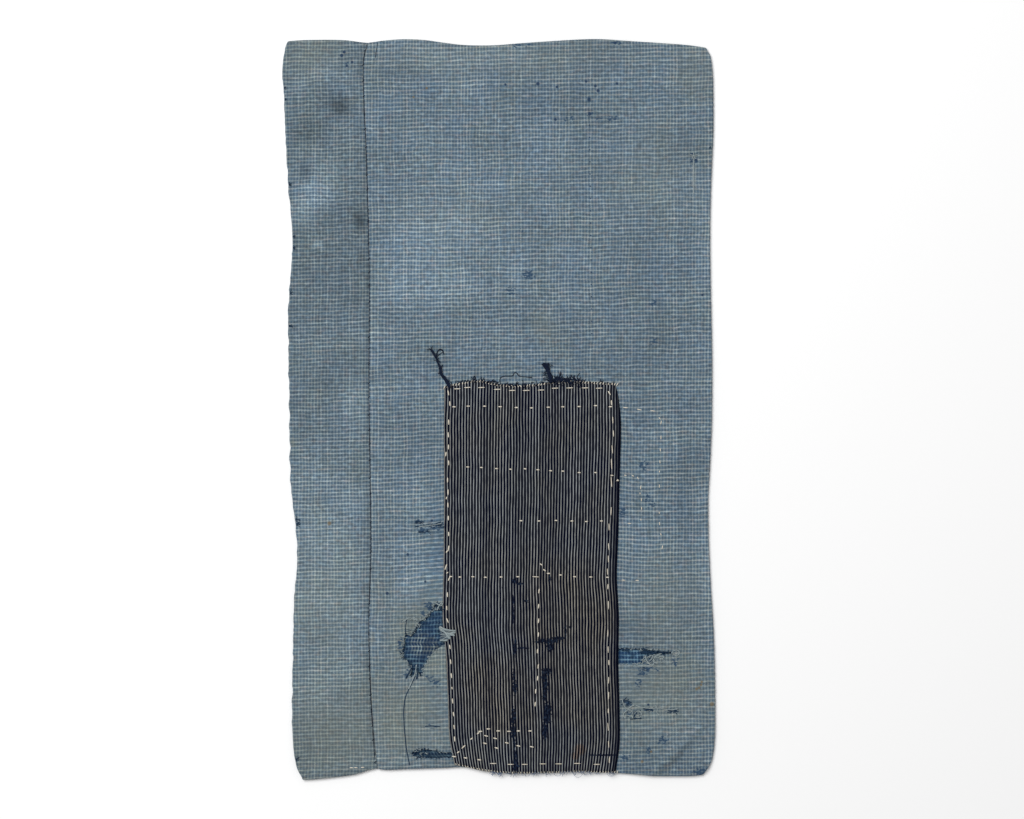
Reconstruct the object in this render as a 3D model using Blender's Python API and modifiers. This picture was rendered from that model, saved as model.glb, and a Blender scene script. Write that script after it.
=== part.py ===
"""Boro patched cloth: a worn indigo check cotton, sewn into a flat double cloth and mended with a striped patch.

Two lengths of narrow-loom check cotton, one about 34 cm wide and one about 30 cm, are seamed into a flat tube. One
seam runs down the front, a fifth of the way in from the left edge, and the other lies behind. Each length turns round
one side edge, so the cloth is double all over, and the worn front shows the back layer through its tears. A striped
cotton patch is sewn over the lower middle. The cloth lies on a flat surface, face up, with a few low swells.

The frame: +X to the right across the cloth, +Y up its length, +Z up out of its face, and the origin under its middle.
"""

import math

import bmesh
import bpy
from mathutils import Vector

MM = 0.001

# Driving sizes, in millimetres
CLOTH_THICKNESS = 1.0
LAYER_GAP = 0.8
SEAM_GAP = 0.3
PATCH_GAP = 0.35
SIDE_END = 278.0
BACK_INSET = 1.5
BACK_SEAM_FROM_EDGE = 80.0
BACK_LIFT_SHARE = 0.4
HEM_WIDTH = 11.0
HEM_RISE = 0.4

# How finely each sheet is divided, in cells
ROW_STEP = 16.0
END_ROWS = (0.0, 3.0, 7.0, 13.0)
FOLD_CELLS = 6
MAIN_FRONT_CELLS = 17
MAIN_BACK_CELLS = 5
SIDE_FRONT_CELLS = 6
SIDE_BACK_CELLS = 11
PATCH_CELLS_ACROSS = 9
PATCH_CELLS_UP = 20

# Each side edge, as rows of (height on the cloth, distance right of the middle)
LEFT_EDGE = (
    (-278.0, -148.0), (-268.0, -152.0), (-248.0, -154.7), (-218.0, -155.2), (-173.0, -154.3), (-143.0, -153.6),
    (-113.0, -151.3), (-86.0, -152.6), (-72.0, -154.7), (-45.0, -156.6), (7.0, -157.3), (75.0, -158.1),
    (97.0, -156.6), (127.0, -154.9), (146.0, -155.8), (165.0, -157.7), (195.0, -159.6), (236.0, -161.2),
    (256.0, -162.5), (270.0, -161.2), (278.0, -158.6),
)
RIGHT_EDGE = (
    (-278.0, 154.0), (-272.0, 158.4), (-262.0, 161.2), (-244.0, 162.5), (-199.0, 162.2), (-165.0, 161.1),
    (-135.0, 159.2), (-101.0, 157.7), (-68.0, 157.3), (-45.0, 158.4), (-8.0, 159.9), (45.0, 160.1),
    (90.0, 159.2), (135.0, 158.6), (168.0, 159.2), (187.0, 159.9), (216.0, 161.1), (251.0, 160.9),
    (264.0, 160.2), (272.0, 159.0), (278.0, 156.2),
)

# The top and bottom edges, as rows of (distance right of the middle, height)
TOP_EDGE = (
    (-159.0, 276.4), (-146.0, 277.3), (-116.0, 277.3), (-99.0, 275.4), (-86.0, 277.0), (-71.0, 278.0),
    (-56.0, 277.4), (-41.0, 275.3), (-26.0, 273.6), (-4.0, 273.4), (16.0, 274.9), (38.0, 276.4), (64.0, 277.9),
    (79.0, 277.9), (101.0, 276.4), (124.0, 274.9), (143.0, 273.4), (156.0, 271.5),
)
BOTTOM_EDGE = (
    (-148.0, -278.0), (-138.0, -277.4), (-124.0, -276.0), (-108.0, -273.8), (-94.0, -269.8), (-84.0, -270.4),
    (-71.0, -269.9), (-41.0, -268.9), (-26.0, -268.3), (-11.0, -269.6), (4.0, -271.6), (34.0, -271.8),
    (64.0, -271.8), (92.0, -273.0), (116.0, -274.9), (133.0, -275.1), (146.0, -274.9), (155.0, -273.8),
)

# The front seam, as rows of (height on the cloth, distance right of the middle)
FRONT_SEAM = (
    (-278.0, -91.0), (-256.0, -93.5), (-228.0, -95.5), (-193.0, -97.0), (-159.0, -97.5), (-112.0, -96.0),
    (-54.0, -96.5), (8.0, -97.4), (85.0, -97.2), (141.0, -97.9), (201.0, -99.8), (231.0, -101.2),
    (260.0, -101.7), (268.0, -100.8), (278.0, -98.0),
)

# The striped patch: its side edges as (height, distance right), its ends as (distance right, height)
PATCH_LOW, PATCH_HIGH = -272.0, 20.0
PATCH_LEFT = (
    (-272.0, -32.6), (-251.0, -36.0), (-222.0, -37.8), (-182.0, -40.0), (-160.0, -42.0), (-123.0, -41.5),
    (-67.0, -41.0), (-18.0, -41.1), (20.0, -40.7),
)
PATCH_RIGHT = (
    (-272.0, 87.5), (-250.0, 90.6), (-225.0, 90.6), (-188.0, 89.6), (-153.0, 90.0), (-126.0, 88.5),
    (-93.0, 89.6), (-38.0, 91.0), (-8.0, 91.5), (10.0, 89.6), (20.0, 87.0),
)
PATCH_TOP = (
    (-41.0, 17.5), (-28.0, 20.2), (-15.0, 22.0), (-6.0, 20.2), (5.0, 18.4), (19.0, 18.4), (31.0, 19.5),
    (39.0, 20.8), (59.0, 21.2), (74.0, 20.5), (88.0, 19.8),
)
PATCH_BOTTOM = (
    (-34.0, -266.3), (-22.0, -268.7), (-12.0, -271.0), (1.0, -272.5), (14.0, -273.1), (42.0, -272.5),
    (60.0, -271.9), (88.0, -272.6),
)

# Low swells where the cloth stands off the surface: (right, up, turned by degrees, half length, half width, height)
SWELLS = (
    (-139.0, 239.0, 32.0, 40.0, 17.0, 3.0),
    (-134.0, 155.0, 22.0, 44.0, 24.0, 3.2),
    (-132.0, 62.0, 8.0, 36.0, 34.0, 1.4),
    (-134.0, -62.0, -6.0, 34.0, 40.0, 1.6),
    (-136.0, -150.0, 12.0, 34.0, 26.0, 2.0),
    (-117.0, -204.0, 50.0, 34.0, 9.0, 1.3),
    (128.0, -252.0, 46.0, 40.0, 8.0, 1.4),
    (132.0, 160.0, -74.0, 60.0, 16.0, 1.2),
    (134.0, -10.0, 86.0, 84.0, 16.0, 1.1),
    (-20.0, 120.0, 80.0, 120.0, 60.0, 0.8),
)

# The tears that go through the front layer, as outlines of (right, up)
WIDE_TEAR = (
    (-50.8, -150.4), (-47.1, -145.9), (-43.3, -146.4), (-41.4, -158.0), (-41.6, -175.1), (-47.1, -180.0),
    (-51.3, -184.4), (-53.8, -189.4), (-56.5, -194.3), (-60.3, -196.4), (-65.1, -194.3), (-68.1, -189.4),
    (-73.3, -183.8), (-71.0, -178.0), (-70.2, -168.4), (-66.1, -169.9), (-62.3, -165.7), (-59.8, -159.4),
    (-52.3, -154.9),
)
RIGHT_TEAR = (
    (88.0, -181.4), (104.0, -180.8), (118.0, -181.6), (129.6, -182.0), (130.0, -183.8), (118.0, -184.6),
    (109.0, -185.2), (108.0, -190.0), (100.0, -191.0), (88.0, -190.6),
)
HEM_TEAR = (
    (-65.4, -258.2), (-62.0, -255.8), (-56.6, -254.8), (-49.7, -256.4), (-36.6, -258.4), (-36.6, -260.2),
    (-53.7, -260.8), (-60.5, -260.5),
)
TEAR_CUTTER_LOW = 1.42
TEAR_CUTTER_HIGH = 12.0

# Nicks worn into the left fold: (height on the cloth, depth, half height)
LEFT_NICKS = (
    (121.2, 2.2, 1.2),
    (88.6, 2.4, 1.2),
    (63.6, 4.0, 1.6),
    (-83.4, 4.6, 1.4),
    (-87.0, 4.6, 1.3),
    (-262.4, 4.2, 1.4),
)
NICK_REACH = 8.0
NICK_CUTTER_HIGH = 12.0

# Frayed navy locks that hang out of the patch's upper edge: routes of (right, up, thickness)
FRAYED_LOCKS = {
    "corner_lock": ((-36.0, 15.0, 2.0), (-37.8, 20.0, 2.0), (-41.0, 25.0, 2.0), (-44.0, 31.0, 1.9),
                    (-46.0, 37.0, 1.8), (-48.6, 42.6, 1.5)),
    "top_lock": ((38.6, 18.0, 3.0), (38.4, 23.0, 3.2), (36.4, 28.6, 3.2), (33.8, 33.8, 2.8)),
}
WELD_DISTANCE = 0.01

# Finish of each cloth: linear colour, roughness
CHECK_COLOUR = (0.15, 0.2, 0.245)
PATCH_COLOUR = (0.045, 0.047, 0.056)
CLOTH_ROUGHNESS = 0.95


def remove_all_objects():
    """Empty the file of the objects that it opened with."""
    for obj in list(bpy.data.objects):
        bpy.data.objects.remove(obj, do_unlink=True)


def new_collection(name):
    """A collection linked to the scene."""
    collection = bpy.data.collections.new(name)
    bpy.context.scene.collection.children.link(collection)
    return collection


def cloth_finish(name, colour):
    """A matt cloth material."""
    material = bpy.data.materials.new(name)
    material.use_nodes = True
    shader = material.node_tree.nodes["Principled BSDF"]
    shader.inputs["Base Color"].default_value = (*colour, 1.0)
    shader.inputs["Roughness"].default_value = CLOTH_ROUGHNESS
    shader.inputs["Metallic"].default_value = 0.0
    return material


def along(table, t):
    """The smooth curve through a table's rows, read at t and held level past its ends."""
    if t <= table[0][0]:
        return table[0][1]
    if t >= table[-1][0]:
        return table[-1][1]
    i = next(k for k in range(len(table) - 1) if t <= table[k + 1][0])

    def slope(k):
        before, after = table[max(k - 1, 0)], table[min(k + 1, len(table) - 1)]
        return (after[1] - before[1]) / (after[0] - before[0])

    (t0, a), (t1, b) = table[i], table[i + 1]
    span = t1 - t0
    s = (t - t0) / span
    rise_a, rise_b = slope(i) * span, slope(i + 1) * span
    return (
        (2 * s**3 - 3 * s**2 + 1) * a
        + (s**3 - 2 * s**2 + s) * rise_a
        + (3 * s**2 - 2 * s**3) * b
        + (s**3 - s**2) * rise_b
    )


def mix(a, b, share):
    """The value that lies a share of the way from a to b."""
    return a + (b - a) * share


def bump(t):
    """A smooth hump, 1 at the middle and 0 from 1 outwards."""
    return (1 - t * t) ** 2 if abs(t) < 1 else 0.0


def swell(x, y):
    """How far the cloth stands off the surface."""
    total = 0.0
    for right, up, turn, half_length, half_width, height in SWELLS:
        c, s = math.cos(math.radians(turn)), math.sin(math.radians(turn))
        lengthways = (x - right) * c + (y - up) * s
        crossways = (y - up) * c - (x - right) * s
        total += height * bump(lengthways / half_length) * bump(crossways / half_width)
    return total


def hem_rise(x, y):
    """How far the turned-up hem lifts the front, along the bottom edge."""
    return HEM_RISE * bump((y - along(BOTTOM_EDGE, x)) / HEM_WIDTH)


def back_height(x, y):
    """Height of the back layer's middle surface."""
    return CLOTH_THICKNESS / 2 + BACK_LIFT_SHARE * swell(x, y)


def front_height(x, y):
    """Height of the front layer's middle surface."""
    level = 1.5 * CLOTH_THICKNESS + LAYER_GAP
    return level + swell(x, y) + hem_rise(x, y)


def row_heights():
    """Nominal heights of the grid's rows, closer together near the two ends."""
    inner = SIDE_END - END_ROWS[-1]
    steps = round(2 * inner / ROW_STEP)
    low = [-SIDE_END + d for d in END_ROWS[:-1]]
    middle = [-inner + 2 * inner * k / steps for k in range(steps + 1)]
    return low + middle + [-h for h in reversed(low)]


def grid_object(name, columns, rows, place, material, collection):
    """A grid sheet whose vertex in column i and row j is put at place(i, j), in millimetres."""
    bm = bmesh.new()
    bmesh.ops.create_grid(bm, x_segments=columns - 1, y_segments=rows - 1, size=0.5)
    for vertex in bm.verts:
        i = round((vertex.co.x + 0.5) * (columns - 1))
        j = round((vertex.co.y + 0.5) * (rows - 1))
        vertex.co = Vector(place(i, j)) * MM
    mesh = bpy.data.meshes.new(name)
    bm.to_mesh(mesh)
    bm.free()
    mesh.materials.append(material)
    obj = bpy.data.objects.new(name, mesh)
    collection.objects.link(obj)
    return obj


def thicken(obj, thickness):
    """Give an open sheet its thickness, half to each side."""
    solid = obj.modifiers.new("thickness", "SOLIDIFY")
    solid.thickness = thickness * MM
    solid.offset = 0.0


def wrapped_cloth(name, side, front_cells, back_cells, material, collection):
    """One length of cloth from the front seam round a side edge (side 1 right, -1 left) to the back seam."""
    edge = RIGHT_EDGE if side > 0 else LEFT_EDGE
    back_seam = along(RIGHT_EDGE, 0.0) - BACK_SEAM_FROM_EDGE
    heights = row_heights()
    fold_start, fold_end = front_cells, front_cells + FOLD_CELLS
    columns = fold_end + back_cells + 1

    def place(i, j):
        nominal = heights[j]
        up = (nominal + SIDE_END) / (2 * SIDE_END)
        seam_x = along(FRONT_SEAM, nominal) + side * SEAM_GAP / 2
        back_x = back_seam + side * SEAM_GAP / 2
        outer = along(edge, nominal) - side * CLOTH_THICKNESS / 2
        front, back = front_height(outer, nominal), back_height(outer, nominal)
        radius = (front - back) / 2
        centre = outer - side * radius
        turned = min(max((i - fold_start) / FOLD_CELLS, 0.0), 1.0)
        angle = math.pi * (0.5 - turned)
        if i < fold_start:
            x = mix(seam_x, centre, i / front_cells)
        elif i <= fold_end:
            x = centre + side * radius * math.cos(angle)
        else:
            x = mix(centre, back_x, (i - fold_end) / back_cells)
        inset = BACK_INSET * turned
        y = mix(along(BOTTOM_EDGE, x) + inset, along(TOP_EDGE, x) - inset, up)
        if i < fold_start:
            z = front_height(x, y)
        elif i <= fold_end:
            z = (front_height(x, y) + back_height(x, y)) / 2
            z += (front_height(x, y) - back_height(x, y)) / 2 * math.sin(angle)
        else:
            z = back_height(x, y)
        return x, y, z

    obj = grid_object(name, columns, len(heights), place, material, collection)
    thicken(obj, CLOTH_THICKNESS)
    return obj


def prism_cutter(name, outline, low, high, collection):
    """An upright prism over an outline, as a cutter."""
    bm = bmesh.new()
    bmesh.ops.create_circle(bm, cap_ends=True, segments=len(outline), radius=1.0)
    bm.verts.ensure_lookup_table()
    for vertex, (x, y) in zip(bm.verts, outline):
        vertex.co = Vector((x, y, low)) * MM
    raised = bmesh.ops.extrude_face_region(bm, geom=bm.faces[:])
    for item in raised["geom"]:
        if isinstance(item, bmesh.types.BMVert):
            item.co.z = high * MM
    bmesh.ops.recalc_face_normals(bm, faces=bm.faces[:])
    mesh = bpy.data.meshes.new(name)
    bm.to_mesh(mesh)
    bm.free()
    obj = bpy.data.objects.new(name, mesh)
    obj.hide_render = True
    obj.display_type = "WIRE"
    collection.objects.link(obj)
    return obj


def combine(obj, other, operation):
    """Cut or join another closed mesh with a Boolean."""
    boolean = obj.modifiers.new(f"{operation.lower()} {other.name}", "BOOLEAN")
    boolean.operation = operation
    boolean.solver = "EXACT"
    boolean.object = other


def nick_outline(height, depth, half_height):
    """A pointed nick into the left fold."""
    edge = along(LEFT_EDGE, height)
    return (
        (edge - NICK_REACH, height - 2 * half_height),
        (edge - NICK_REACH, height + 2 * half_height),
        (edge, height + half_height),
        (edge + depth, height),
        (edge, height - half_height),
    )


def patch_place(i, j):
    """Where a vertex of the patch's grid lies."""
    nominal = mix(PATCH_LOW, PATCH_HIGH, j / PATCH_CELLS_UP)
    x = mix(along(PATCH_LEFT, nominal), along(PATCH_RIGHT, nominal), i / PATCH_CELLS_ACROSS)
    y = mix(along(PATCH_BOTTOM, x), along(PATCH_TOP, x), j / PATCH_CELLS_UP)
    z = front_height(x, y) + CLOTH_THICKNESS + PATCH_GAP
    return x, y, z


def frayed_lock(name, route, collection):
    """A round strand of pulled-out yarns that lies on the front, its root in the patch's edge."""
    underside = front_height(0.0, 0.0) + CLOTH_THICKNESS / 2 + PATCH_GAP
    curve = bpy.data.curves.new(name, "CURVE")
    curve.dimensions = "3D"
    curve.bevel_depth = MM / 2
    curve.bevel_resolution = 1
    curve.use_fill_caps = True
    spline = curve.splines.new("POLY")
    spline.points.add(len(route) - 1)
    for point, (x, y, thickness) in zip(spline.points, route):
        point.co = (x * MM, y * MM, (underside + thickness / 2) * MM, 1.0)
        point.radius = thickness
    tube = bpy.data.objects.new(name + "_tube", curve)
    collection.objects.link(tube)
    mesh = bpy.data.meshes.new_from_object(tube.evaluated_get(bpy.context.evaluated_depsgraph_get()))
    bpy.data.objects.remove(tube)
    bm = bmesh.new()
    bm.from_mesh(mesh)
    bmesh.ops.remove_doubles(bm, verts=bm.verts[:], dist=WELD_DISTANCE * MM)
    bmesh.ops.recalc_face_normals(bm, faces=bm.faces[:])
    bm.to_mesh(mesh)
    bm.free()
    lock = bpy.data.objects.new(name, mesh)
    lock.hide_render = True
    lock.display_type = "WIRE"
    collection.objects.link(lock)
    return lock


def build():
    """Model the cloth and its patch."""
    remove_all_objects()
    cloth = new_collection("boro_patched_cloth")
    cutters = new_collection("cutters")
    check = cloth_finish("faded_check", CHECK_COLOUR)
    stripe = cloth_finish("navy_stripe", PATCH_COLOUR)

    main = wrapped_cloth("main_cloth", 1, MAIN_FRONT_CELLS, MAIN_BACK_CELLS, check, cloth)
    tears = {"wide_tear": WIDE_TEAR, "right_tear": RIGHT_TEAR, "hem_tear": HEM_TEAR}
    for name, outline in tears.items():
        cutter = prism_cutter(name, outline, TEAR_CUTTER_LOW, TEAR_CUTTER_HIGH, cutters)
        combine(main, cutter, "DIFFERENCE")

    side = wrapped_cloth("side_cloth", -1, SIDE_FRONT_CELLS, SIDE_BACK_CELLS, check, cloth)
    for number, (height, depth, half_height) in enumerate(LEFT_NICKS, start=1):
        outline = nick_outline(height, depth, half_height)
        cutter = prism_cutter(f"nick_{number}", outline, -NICK_CUTTER_HIGH, NICK_CUTTER_HIGH, cutters)
        combine(side, cutter, "DIFFERENCE")

    patch = grid_object(
        "striped_patch", PATCH_CELLS_ACROSS + 1, PATCH_CELLS_UP + 1, patch_place, stripe, cloth
    )
    thicken(patch, CLOTH_THICKNESS)
    for name, route in FRAYED_LOCKS.items():
        combine(patch, frayed_lock(name, route, cutters), "UNION")


build()
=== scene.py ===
import math
from random import choice, seed, uniform

import bmesh
import bpy
from mathutils import Matrix, Vector, kdtree, noise


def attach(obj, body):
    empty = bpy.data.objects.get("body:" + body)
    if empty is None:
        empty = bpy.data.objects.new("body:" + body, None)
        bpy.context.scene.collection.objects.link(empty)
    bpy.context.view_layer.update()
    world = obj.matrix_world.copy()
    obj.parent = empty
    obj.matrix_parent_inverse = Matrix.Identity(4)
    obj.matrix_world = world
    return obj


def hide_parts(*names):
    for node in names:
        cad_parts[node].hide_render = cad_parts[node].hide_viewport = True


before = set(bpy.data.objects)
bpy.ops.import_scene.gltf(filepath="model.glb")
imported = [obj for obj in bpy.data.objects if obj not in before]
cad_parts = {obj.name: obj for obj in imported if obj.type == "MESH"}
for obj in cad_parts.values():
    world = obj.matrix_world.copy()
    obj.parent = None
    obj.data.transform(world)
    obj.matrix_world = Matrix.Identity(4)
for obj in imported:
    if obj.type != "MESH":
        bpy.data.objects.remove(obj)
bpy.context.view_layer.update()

# Main cloth: hand-woven indigo cotton with a small pale check. It covers the front from the seam to the
# right edge, is folded there and lies behind as well, and its bottom hem is turned up and sewn. It is worn
# through in three places, where the unfaded inner face of the back layer shows.
MM = 0.001
CLOTH_THICKNESS = 0.7
FACE_LEVEL = 2.8
CELL, BACK_CELL, FOLD_CELLS = 2.25, 5.625, 8
END_STEPS = (0, 0.5, 1.2, 2.2)
SEAM_PLACE, SEAM_GAP, BACK_SEAM = -97, 0.35, 80
CLOTH_TOP, CLOTH_BOTTOM = 278, -278
MAIN_LEAN, MAIN_FLAT = 0.0175, (0.342, 0.550)

# Each side edge and the front seam, as rows of (height on the cloth, distance right of the middle)
LEFT_EDGE = (
    (-278, -148), (-268, -152), (-248, -154.7), (-218, -155.2), (-173, -154.3), (-143, -153.6),
    (-113, -151.3), (-86, -152.6), (-72, -154.7), (-45, -156.6), (7, -157.3), (75, -158.1), (97, -156.6),
    (127, -154.9), (146, -155.8), (165, -157.7), (195, -159.6), (236, -161.2), (256, -162.5), (270, -161.2),
    (278, -158.6),
)
RIGHT_EDGE = (
    (-278, 154), (-272, 158.4), (-262, 161.2), (-244, 162.5), (-199, 162.2), (-165, 161.1), (-135, 159.2),
    (-101, 157.7), (-68, 157.3), (-45, 158.4), (-8, 159.9), (45, 160.1), (90, 159.2), (135, 158.6),
    (168, 159.2), (187, 159.9), (216, 161.1), (251, 160.9), (264, 160.2), (272, 159), (278, 156.2),
)
FRONT_SEAM = (
    (-278, -91), (-256, -93.5), (-228, -95.5), (-193, -97), (-159, -97.5), (-112, -96), (-54, -96.5),
    (8, -97.4), (85, -97.2), (141, -97.9), (201, -99.8), (231, -101.2), (260, -101.7), (268, -100.8),
    (278, -98),
)

# The top and bottom edges, as rows of (distance right of the middle, height)
TOP_EDGE = (
    (-159, 276.4), (-146, 277.3), (-116, 277.3), (-99, 275.4), (-86, 277), (-71, 278), (-56, 277.4),
    (-41, 275.3), (-26, 273.6), (-4, 273.4), (16, 274.9), (38, 276.4), (64, 277.9), (79, 277.9),
    (101, 276.4), (124, 274.9), (143, 273.4), (156, 271.5),
)
BOTTOM_EDGE = (
    (-148, -278), (-138, -277.4), (-124, -276), (-108, -273.8), (-94, -269.8), (-84, -270.4), (-71, -269.9),
    (-41, -268.9), (-26, -268.3), (-11, -269.6), (4, -271.6), (34, -271.8), (64, -271.8), (92, -273),
    (116, -274.9), (133, -275.1), (146, -274.9), (155, -273.8),
)

# Low swells where the cloth stands off the surface, and the sharp crease at its lower right corner:
# (right, up, turned by degrees, half length, half width, height)
SWELLS = (
    (-139, 239, 32, 40, 17, 3), (-134, 155, 22, 44, 24, 3.2), (-132, 62, 8, 36, 34, 1.4),
    (-134, -62, -6, 34, 40, 1.6), (-136, -150, 12, 34, 26, 2), (-117, -204, 50, 34, 9, 1.3),
    (133.5, -255, 44, 38, 5, 1.3), (132, 160, -74, 60, 16, 1.2), (134, -10, 86, 84, 16, 1.1),
    (-20, 120, 80, 120, 60, 0.8),
)

# The hem, and how much the side folds draw in the cloth's ends. Then how far the face sinks, and over what
# reach, at the hem's sewing, the top and bottom edges, the front seam, and the small puckers beside it
HEM_WIDTH, HEM_MIDDLE, HEM_RISE, END_TUCK = 11, 4, 0.4, 1.5
HEM_SINK, TOP_SINK, LOW_SINK, SEAM_SINK, PUCKER = (0.25, 2), (0.9, 4), (0.6, 2.5), (0.9, 2.4), (0.12, 9)

# The tears through the front, as outlines of (right, up)
WIDE_TEAR = (
    (-50.8, -150.4), (-47.1, -145.9), (-43.3, -146.4), (-39, -152), (-38.6, -175.1), (-45.1, -179),
    (-51.3, -184.4), (-53.8, -189.4), (-56.5, -194.3), (-57, -199.5), (-58.6, -200.5), (-60.3, -196.4),
    (-62, -196), (-65.2, -201), (-66.6, -200.4), (-65.1, -194.3), (-68.1, -189.4), (-73.3, -183.8),
    (-71, -178), (-70.2, -168.4), (-66.1, -169.9), (-62.3, -165.7), (-59.8, -159.4), (-52.3, -154.9),
)
RIGHT_TEAR = (
    (84, -179.4), (95, -179), (104, -179.6), (112, -180.6), (118, -181.4), (129.6, -182), (130, -183.4),
    (118, -184.2), (109, -185.2), (108, -190), (100, -191), (84, -190.6),
)
HEM_TEAR = (
    (-65.4, -258.2), (-62, -255.6), (-56.6, -254.6), (-49.7, -255.8), (-42, -257.4), (-35, -257.2),
    (-35, -261.2), (-46, -261.6), (-55.7, -261), (-61.5, -260.6),
)
TEARS = (WIDE_TEAR, RIGHT_TEAR, HEM_TEAR)

# Where the back layer is lifted into the tears. This table and those up to the weave's own functions have
# rows of (right, up, half width, half height, how far)
TEAR_MIDDLES = ((-56, -173, 26, 30, 0.9), (104, -186, 34, 16, 1.15), (-52, -258, 26, 10, 1.1))

# Where the pale face has worn away to the navy below
WORN = (
    (-47.4, -205, 4.6, 5.2, 1), (-52.3, -201.3, 4.2, 3.2, 0.9), (-49.5, -237.4, 7, 2.2, 0.7),
    (-50.6, -149.6, 5.4, 4.4, 0.95), (-56.4, -153.1, 3.4, 3, 0.95), (-58.2, -155.8, 2.4, 1.6, 0.85),
    (-43.6, -148, 2.6, 3, 0.8), (-68.6, -194, 2.2, 2, 0.8), (110, -194.8, 8.5, 3.6, 1),
    (118.6, -194.7, 2.8, 2.8, 0.9), (107.2, -198.2, 6, 3.2, 0.95), (104.5, -204.4, 3.2, 3.6, 0.95),
    (104.8, -208.2, 3.2, 3, 0.85), (97, -220, 7, 4, 0.8), (100, -228, 7, 3.5, 0.8),
    (112, -224.6, 5.5, 2.4, 0.8), (129.5, -225.4, 7, 2.4, 0.8), (123, -248.6, 7, 5, 0.95),
    (113, -256, 4, 6, 0.85), (94.5, -261, 6, 3.5, 0.9), (151.5, -271.8, 10, 5, 1),
    (109, -41.8, 4.8, 5.4, 1), (110.8, -66.8, 4.4, 5, 0.9), (114.4, -71.6, 4, 4, 0.9),
    (92.6, -76.6, 4.5, 7, 0.9), (22.6, 100.9, 8, 5, 1), (8.4, 88.3, 7, 4.5, 0.9),
    (16.7, 133.9, 2.6, 4, 0.7), (115.7, 79.4, 4.6, 4.6, 0.85), (116.4, 51.4, 4.6, 4.6, 0.85),
    (67.7, 232.9, 3.2, 2.6, 0.9), (68.4, 221.6, 4, 2.4, 0.9), (53.4, 218.6, 8, 2.2, 0.8),
    (75.9, 218.2, 4, 2.2, 0.7), (73.3, 239.6, 3.4, 2.6, 0.6), (-48, -87.2, 8.5, 3, 0.85),
    (-57, -90.2, 6.5, 4, 0.9), (-47, -90.8, 4, 2.6, 0.75), (-61, -83.8, 5, 2.4, 0.7),
    (146.4, 186, 4, 6, 0.8), (86, 218.4, 9, 2.6, 0.8), (52, 218, 5, 4, 0.7), (87.6, 274.9, 7, 2.4, 0.9),
    (12.9, 273, 6, 2.2, 0.8), (23.4, 273.4, 6, 2.2, 0.8), (-36.6, 274.1, 4, 2.2, 0.7),
    (-114.2, 258.6, 4, 5, 0.55), (-112, 265, 3, 3, 0.5), (113.5, -187.2, 7.5, 6.5, 1),
    (132.4, -187.2, 3.6, 3.6, 1), (132.4, -190.6, 3.4, 3.2, 0.95), (-73.5, -176, 3.4, 9, 0.95),
    (-52, -147, 8, 4, 0.9), (-69, -199, 4, 4, 0.7),
)

# Broad places where the face is paler or darker than the rest: partly real uneven fading, and partly painted
# light and painted shade of the cloth's low swells
FADED_AND_SHADED = (
    (-128, -70, 40, 60, 0.3), (-125, -150, 42, 80, 0.34), (-130, -220, 36, 40, 0.18),
    (-134, 162, 26, 18, 0.34), (-138, 213, 22, 12, -0.22), (-126, 250, 26, 9, 0.14),
    (-103.8, 141, 7, 11, -0.42), (-48, 130, 44, 70, 0.26), (-80, 92, 22, 24, 0.26), (5, 165, 60, 60, 0.1),
    (-48, 264, 26, 14, 0.28), (0, 264, 50, 10, 0.14), (-58, -120, 34, 40, 0.26), (-74, -70, 34, 40, 0.12),
    (114, -112, 30, 24, 0.2), (134, -60, 20, 40, -0.1), (112, 145, 50, 40, 0.1), (-108, 8, 18, 40, 0.22),
    (-90, -262, 24, 14, 0.24), (-54, -232, 26, 30, 0.1), (114, -222, 24, 20, 0.12),
    (-48, 40, 24, 24, -0.12), (134, -6, 24, 30, -0.06), (-119.5, 227.5, 15, 12, -0.55),
    (-65, -163.5, 6.5, 8.5, -0.04), (-60, -200, 40, 60, 0.1), (-150, 146, 16, 13, 0.34),
    (-132, 178, 16, 14, 0.16), (157, -120, 12, 84, 0.2), (157, 120, 12, 70, 0.16),
    (-148, -120, 18, 70, 0.16), (-34, 94, 30, 24, 0.16), (-70, -134, 18, 22, 0.18),
    (-148, 250, 16, 12, -0.1), (-146, 206, 14, 10, -0.14), (-103, 113.4, 6, 9, -0.26),
    (-144.7, 178.4, 7, 10, -0.3), (-109.3, 82.9, 12, 9, -0.16), (-135.3, 124, 6, 5, 0.8),
    (-128, 100, 36, 50, -0.1), (-108, 140, 12, 20, -0.14), (-142, 152, 22, 22, 0.17),
    (-128, 184, 14, 14, 0.12), (-150, 243, 12, 14, 0.14), (-88, 243, 14, 14, -0.15),
    (22, 234, 60, 24, -0.11), (14, 104, 40, 32, 0.12), (-48, 52, 20, 20, 0.17), (104, 50, 42, 26, -0.15),
    (-44, -152, 16, 24, 0.22), (-109, -66, 14, 22, 0.15), (-151, -70, 12, 28, 0.14),
    (-151, -162, 12, 44, 0.15), (-109, -202, 13, 16, 0.15), (-58, -72, 24, 18, 0.12),
    (-68, -264, 32, 10, 0.12),
)

# Painted shade along the crease at the lower right corner, with a painted highlight line above it, and
# painted shade along a short crease up the right edge
FADED_AND_SHADED += tuple((121.9 + 2.88 * k, -271.8 + 2.78 * k, 4.5, 4.5, -0.14) for k in range(11))
FADED_AND_SHADED += tuple((116 + 2.88 * k, -271.3 + 2.78 * k, 4, 4, 0.08) for k in range(13))
FADED_AND_SHADED += tuple((154, -224 - 3.2 * k, 3, 3.6, -0.14) for k in range(6))

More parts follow.
